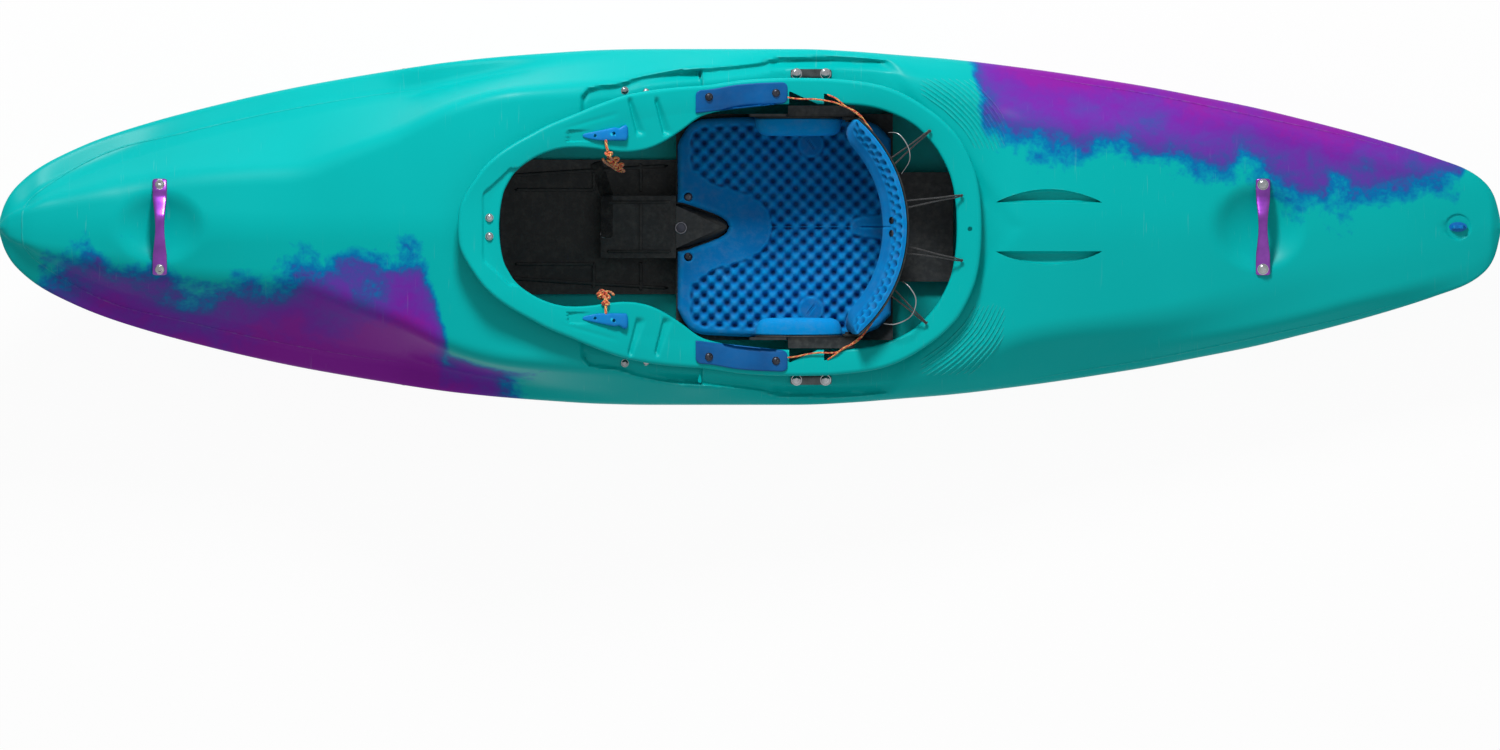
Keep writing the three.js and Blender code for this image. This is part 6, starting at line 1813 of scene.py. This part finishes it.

# %% [markdown]
# ## Cords between the rim and the backband
#
# These cords are fastened to the shell and to the backband.
# The orange ones run along the rim's slots, and the black shock cords are thin doubled loops with
# a knot in a hole in the rim.

# %% Orange adjusting cords
ADJUST = [(0.6304, 0.872, 0.002), (0.66, 0.858, 0.004), (0.69, 0.848, 0.003), (0.72, 0.838, 0),
          (0.738, 0.81, -0.01), (0.752, 0.785, -0.022), (0.77, 0.736, -0.045), (0.79, 0.64, -0.07)]
SECOND = [(0.706, 0.888, -0.002), (0.722, 0.856, 0.004)]
STRAND_RADIUS, TWIST = CORD_RADIUS * 0.62, 0.0014


def adjust_point(along, out, up, side):
    x, y = cockpit_x(along), out * COCKPIT_WIDTH / 2
    z = rim_height(x) - FLANGE_DROP * 0.6 + CORD_RADIUS + 0.0008
    return x, y * side, z + up * COCKPIT_WIDTH / 2


for side_name, side in SIDES:
    strands = []
    for way, rows in ((1, SECOND + ADJUST[4:]), (-1, ADJUST)):
        line = smooth_line([adjust_point(*row, side) for row in rows])
        turn = np.linspace(0, -len(line) / 34, len(line))[::-1] * math.tau
        strands.append(line + TWIST * way * stacked(0, np.cos(turn), np.sin(turn)))
    cord = tube(f"adjust_strands_{side_name}", strands[0], STRAND_RADIUS)
    joined(cord, [tube("strand", strands[1], STRAND_RADIUS)])
    dressed(cord, orange_cord, None, "orange_cord", f"adjust_cord_{side_name}")
    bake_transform(cord)
    print(cord.name, "of", round(length_of(line), 3), "m")

# %% Black shock cords
SHOCKS = [("starboard_outer", 0.9, 0.643, 27), ("starboard_inner", 0.9605, 0.21, 9),
          ("port_inner", 0.9605, -0.224, -9), ("port_outer", 0.893, -0.643, -27)]
SHOCK_Z, SHOCK_RISE, SHOCK_RADIUS = 0.286, 0.02, 0.0015


def shock_lines(along, out, degrees):
    x, y = cockpit_x(along), out * COCKPIT_WIDTH / 2
    turn = math.radians(degrees)
    band = np.array(band_point(turn, -0.0012, SHOCK_Z))
    top = rim_height(x)
    lines = []
    for way in (-1, 1):
        start = np.array(band_point(turn + way * 0.024, -0.0012, SHOCK_Z))
        over = [start + (np.array([x, y, 0]) - start) * [t, t, 0] for t in (0.25, 0.6, 0.9)]
        for point, up in zip(over, (0.95, 1, 0.65)):
            point[2] = top + SHOCK_RISE * up * (0.8 if way > 0 else 0.66)
        over[2][1] += way * 0.0012
        ends = [(x, y + way * 0.0007, top + 0.0025), (x, y, top - LIP / 2)]
        lines.append(smooth_line([start, *over, *ends], 0.002))
    return band, np.array([x, y, top]), lines


for label, along, out, degrees in SHOCKS:
    band, hole, lines = shock_lines(along, out, degrees)
    loops = tube(f"shock_loops_{label}", lines[0], SHOCK_RADIUS, 10)
    knot_shape = knot_line(hole + [0, 0, 0.0035], 0.0011, 1)
    joined(loops, [tube("strand", lines[1], SHOCK_RADIUS, 10),
                   tube("knot", knot_shape, 0.0013, 8)])
    dressed(loops, black_cord, None, "black_cord", f"shock_cord_{label}")
    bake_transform(loops)
print("shock cords:", len(SHOCKS))

# %% Thin loops behind the backband
WIRES = {
    "starboard": [(0.253, 0.1726), (0.2709, 0.1706), (0.2889, 0.1468), (0.2921, 0.123),
                  (0.2771, 0.0972)],
    "port": [(0.2771, -0.0985), (0.291, -0.1093), (0.3036, -0.133), (0.2948, -0.1627),
             (0.2652, -0.1779), (0.2452, -0.1768)],
}
for side_name, spots in WIRES.items():
    lift = np.sin(np.linspace(0, math.pi, len(spots))) * 0.012
    line = smooth_line([(x, y, 0.283 + up) for (x, y), up in zip(spots, lift)])
    wire = tube(f"wire_loop_{side_name}", line, 0.0011, 10)
    dressed(wire, grey_wire, "backband", "steel")
print("wire loops:", len(WIRES))

# %% [markdown]
# ## Footrest, pillars and floor
#
# Under the deck a padded footrest slides on its two rails, and foam walls hold the decks up. The
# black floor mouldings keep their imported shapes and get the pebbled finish.

# %% The footrest's pad
def loose_copy(name, *nodes):
    maker = bmesh.new()
    for node_name in nodes:
        maker.from_mesh(frame["nodes"][node_name].data)
    bmesh.ops.remove_doubles(maker, verts=maker.verts, dist=1e-5)
    bmesh.ops.dissolve_limit(maker, angle_limit=math.radians(2), verts=maker.verts,
                             edges=maker.edges)
    mesh = bpy.data.meshes.new(name)
    maker.to_mesh(mesh)
    maker.free()
    return placed(name, mesh)


foot_foam = creased(beveled(loose_copy("footrest_foam", "footrest_pad"), 0.006, 4), 50)
dressed(foot_foam, grey_foam, "footrest", "grey_foam", "footrest_pad")
for end in ("bow", "stern"):
    wall = loose_copy(f"{end}_wall", f"{end}_pillar")
    for corner in wall.data.vertices:
        over = fallen(hull_rays, corner.co.x, corner.co.y)
        corner.co.z = min(corner.co.z, over.z - WALL - 0.0015) if over else corner.co.z
    wall = creased(beveled(wall, 0.003, 3), 50)
    dressed(wall, grey_foam, "hull", "grey_foam", f"{end}_pillar")
print("foam pieces:", len(foot_foam.data.polygons), "faces in the pad")

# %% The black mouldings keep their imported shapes
for name in ("seat_pan", "front_floor", "footrest_plate", "foot_rail_starboard", "foot_rail_port",
             "front_safety_bar"):
    packed = frame["nodes"][name]
    packed.data.materials.clear()
    packed.data.materials.append(steel if name == "front_safety_bar" else black_plastic)

# %% [markdown]
# ## Details of the floor
#
# The floor moulding has low ribs, two round studs and a webbing strap. They are small, but the
# picture looks straight down on them.

# %% Ribs, studs and a strap on the floor
FLOOR_RAYS = ray_tree(loose_copy("floor_copy", "front_floor", "seat_pan"))
bpy.data.meshes.remove(bpy.data.meshes["floor_copy"])
STRIP_SINK = 0.0006


def floor_z(x, y):
    hit = fallen(FLOOR_RAYS, x, y, 0.12)
    return hit.z if hit else 0.02


def laid_strip(name, line, wide, tall, power=4.0):
    u, v = superellipse(20, power)
    line = np.asarray(line, float)
    way = units_of(np.gradient(line[:, :2], axis=0))
    rings = []
    for i, ((x, y, z), (a, b)) in enumerate(zip(line, way)):
        end = 0.35 if i in (0, len(line) - 1) else 1.0
        rings.append(np.column_stack([
            x - b * u * wide / 2 * end, y + a * u * wide / 2 * end,
            z - STRIP_SINK + (1 + v * end) * tall / 2]))
    return ringed(name, rings)


def floor_line(start, end, count=40):
    spots = np.linspace(start, end, count)
    return [(x, y, floor_z(x, y)) for x, y in spots]


RIB_ENDS = [
    ((-0.44, 0.094), (-0.15, 0.112)), ((-0.44, -0.094), (-0.15, -0.112)),
    ((-0.43, 0.068), (-0.285, 0.068)), ((-0.43, -0.068), (-0.285, -0.068)),
    ((-0.286, 0.066), (-0.286, 0.112)), ((-0.286, -0.112), (-0.286, -0.066)),
    ((-0.2, 0.064), (-0.2, 0.116)), ((-0.2, -0.116), (-0.2, -0.064)),
    ((-0.262, -0.045), (-0.145, -0.045)), ((-0.262, 0.045), (-0.145, 0.045)),
    ((-0.2, -0.044), (-0.2, 0.044)),
]
ribs = [laid_strip("floor_ribs", floor_line(*ends), wide=0.006, tall=0.003) for ends in RIB_ENDS]
joined(ribs[0], ribs[1:])
dressed(ribs[0], black_plastic, "hull", "black_plastic")


def hump_nose():
    u, v = superellipse(36, 3)
    rings = []
    for t in np.linspace(0, 1, 30):
        x = NOSE_FROM + NOSE_LENGTH * math.sin(t * math.pi / 2)
        half = NOTCH(max(x, PAD_FROM)) - 0.0035
        top, under = NOSE_TOP - 0.004 * t * t, NOSE_TOP - 0.04
        rings.append(stacked(x, half * u, (top + under) / 2 + v * (top - under) / 2))
    return ringed("hump_nose", rings)


NOSE_FROM, NOSE_LENGTH, NOSE_TOP = -0.1345, 0.0925, floor_z(-0.12, 0) - 0.0004
print("top of the hump:", round(NOSE_TOP, 4), "m")
nose = hump_nose()
dressed(nose, black_plastic, "hull", "black_plastic")


def stud(name, x, y, outer, inner):
    z = floor_z(x, y)
    profile = [(outer, -0.001), (outer, 0.0016), (outer - 0.0008, 0.0024),
               (inner + 0.0008, 0.0024), (inner, 0.0016), (inner, 0.0004), (0.0006, 0.0004)]
    return ringed(name, [[(a, b, z + up) for a, b in circle(x, y, r, 40)] for r, up in profile])


studs = stud("floor_studs", -0.1263, -0.0018, outer=0.0115, inner=0.0078)
joined(studs, [stud("stud", -0.2727 + 0.006, -0.0128, outer=0.008, inner=0.005)])
creased(studs, 40)
dressed(studs, black_steel, "hull", "black_steel")
strap_line = [(x, y, z + up) for a, b, up in (
    ((-0.282, 0.118), (-0.262, 0.058), 0.001), ((-0.262, 0.056), (-0.262, -0.02), 0.0012),
) for x, y, z in floor_line(a, b, 30)]
strap = laid_strip("floor_strap", strap_line, wide=0.022, tall=0.0022, power=8.0)
dressed(strap, flap_strap, "hull", "black_plastic")
print("floor details:", len(ribs), "ribs")

# %% [markdown]
# ## Ribs in the deck
#
# Behind the cockpit the mould has a fan of fine ribs that follow the rim's corner, and creases
# run along the bow and the stern. Each is a line dropped onto the deck by rays. Geometry Nodes
# turn the lines into round ribs that thin out towards their ends.

# %% A tree of ribs
rib_tree, start, end = growing_tree("deck_rib_tree", ("Radius", FLOAT, 0.0012))
lines = node(rib_tree, "GeometryNodeMeshToCurve", {0: start.outputs["Geometry"]})
share = node(rib_tree, "GeometryNodeSplineParameter")
swell = maths("POWER", maths("SINE", maths("MULTIPLY", share.outputs["Factor"], math.pi)), 0.35)
swell = maths("MAXIMUM", swell, 0.12)
thick = node(rib_tree, "GeometryNodeSetCurveRadius", {
    0: lines.outputs[0], "Radius": maths("MULTIPLY", swell, start.outputs["Radius"])})
ring = node(rib_tree, "GeometryNodeCurvePrimitiveCircle", {"Resolution": 10, "Radius": 1.0})
swept = node(rib_tree, "GeometryNodeCurveToMesh", {
    "Curve": thick.outputs[0], "Profile Curve": ring.outputs[0], "Fill Caps": True})
if "Scale" in swept.inputs:
    radius = node(rib_tree, "GeometryNodeInputRadius")
    put(swept.inputs["Scale"], radius.outputs[0])
painted_end(rib_tree, start, end, swept.outputs[0])
print("rib tree with", len(rib_tree.nodes), "nodes")

# %% Grow the ribs
RIB_COUNT, RIB_GAP, RIB_FIRST = 11, 0.0072, 0.016
BOW_CREASE = [(-1.326, 0.039), (-1.256, 0.095), (-1.162, 0.1415), (-1.046, 0.1695),
              (-0.906, 0.202), (-0.743, 0.2324), (-0.64, 0.2465), (-0.56, 0.252)]
STERN_CREASE = [(0.5, 0.281), (0.606, 0.262), (0.72, 0.244), (0.8235, 0.2235), (0.95, 0.1965),
                (1.09, 0.166), (1.2, 0.136)]
outline = rim_outer_edge[:, :2]
way_out = np.roll(outline, -1, axis=0) - np.roll(outline, 1, axis=0)
way_out = units_of(way_out[:, ::-1] * [1, -1])
if (way_out * (outline - outline.mean(axis=0))).sum() < 0:
    way_out = -way_out
spots, edges = [], []


def lay_rib(run, sink=0.0):
    here = [fallen(hull_rays, x, y) for x, y in run]
    here = [(h.x, h.y, h.z - sink) for h in here if h]
    edges.extend((len(spots) + i, len(spots) + i + 1) for i in range(len(here) - 1))
    spots.extend(here)


for side in (1, -1):
    rows = np.flatnonzero((outline[:, 1] * side > 0.05) & (outline[:, 0] > 0.25))
    rows = rows[np.argsort(-outline[rows, 1] * side)]
    for k in range(RIB_COUNT):
        run = outline[rows] + way_out[rows] * (RIB_FIRST + RIB_GAP * k)
        inside = (run[:, 0] < 0.467) & (run[:, 0] > 0.31) & (run[:, 1] * side > 0.14)
        lay_rib(run[inside & (run[:, 1] * side < 0.272)])
round_bow = BOW_CREASE[::-1] + [(-1.332, 0)] + [(x, -y) for x, y in BOW_CREASE]
for run in (round_bow, STERN_CREASE, [(x, -y) for x, y in STERN_CREASE]):
    lay_rib(smooth_line([(x, y, 0) for x, y in run])[::4, :2], 0.0009)
rib_lines = bpy.data.meshes.new("deck_ribs")
rib_lines.from_pydata(spots, edges, [])
deck_ribs = grown("deck_ribs", rib_lines, rib_tree, Radius=0.0019, Finish=shell_plastic)
dressed(deck_ribs, shell_plastic, "hull", "shell_plastic")
deck_ribs.data.shade_smooth()
print("deck ribs:", len(deck_ribs.data.polygons), "faces")

# %% [markdown]
# ## The drain plug
#
# The plug is an oval cap with a grip to turn it by, on a shank that goes down through the deck.
# Three closed forms are joined by booleans, and a bevel rounds the edges where they meet.

# %% One plug
def plug_oval(length, width, low, high, count=40, power=2.0):
    u, v = superellipse(count, power)
    outline = [(DRAIN_X + length / 2 * a, width / 2 * b) for a, b in zip(u, v)]
    return prism("oval", outline, (low, high), smooth=False)


plug_low, plug_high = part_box("drain_plug")
seat_z = plug_high[2] - 0.0137
plug = plug_oval(0.033, 0.018, seat_z, seat_z + 0.004, 56)
shank = plug_oval(0.0136, 0.0136, plug_low[2] + 0.0002, seat_z + 0.002, 32)
crest = [(-0.0125, 0), (-0.0112, 0.006), (-0.007, 0.0102), (-0.0025, 0.0098), (0.002, 0.0088),
         (0.0065, 0.0102), (0.0095, 0.0098), (0.0115, 0.006), (0.0125, 0)]
crest_x, crest_z = smooth_line([(x, 0, z) for x, z in crest], 0.0008)[:, [0, 2]].T
fin = [(DRAIN_X + x, seat_z + 0.0015 + max(z, 0) * 1.16) for x, z in zip(crest_x, crest_z)]
fin = crosswise("fin", fin, (-0.003, 0.003), smooth=False)
carved(fin, [crosswise("eye", circle(DRAIN_X - 0.001, seat_z + 0.0082, 0.0019), (-0.01, 0.01))])
carved(plug, [shank, fin], "UNION")
plug.name = plug.data.name = "drain_plug_cap"
creased(beveled(plug, 0.0007, 3, 40), 45)
dressed(plug, blue_plastic, "plug", "blue_plastic", "drain_plug")
print("plug faces:", len(plug.data.polygons), "top", round(plug_high[2], 4))
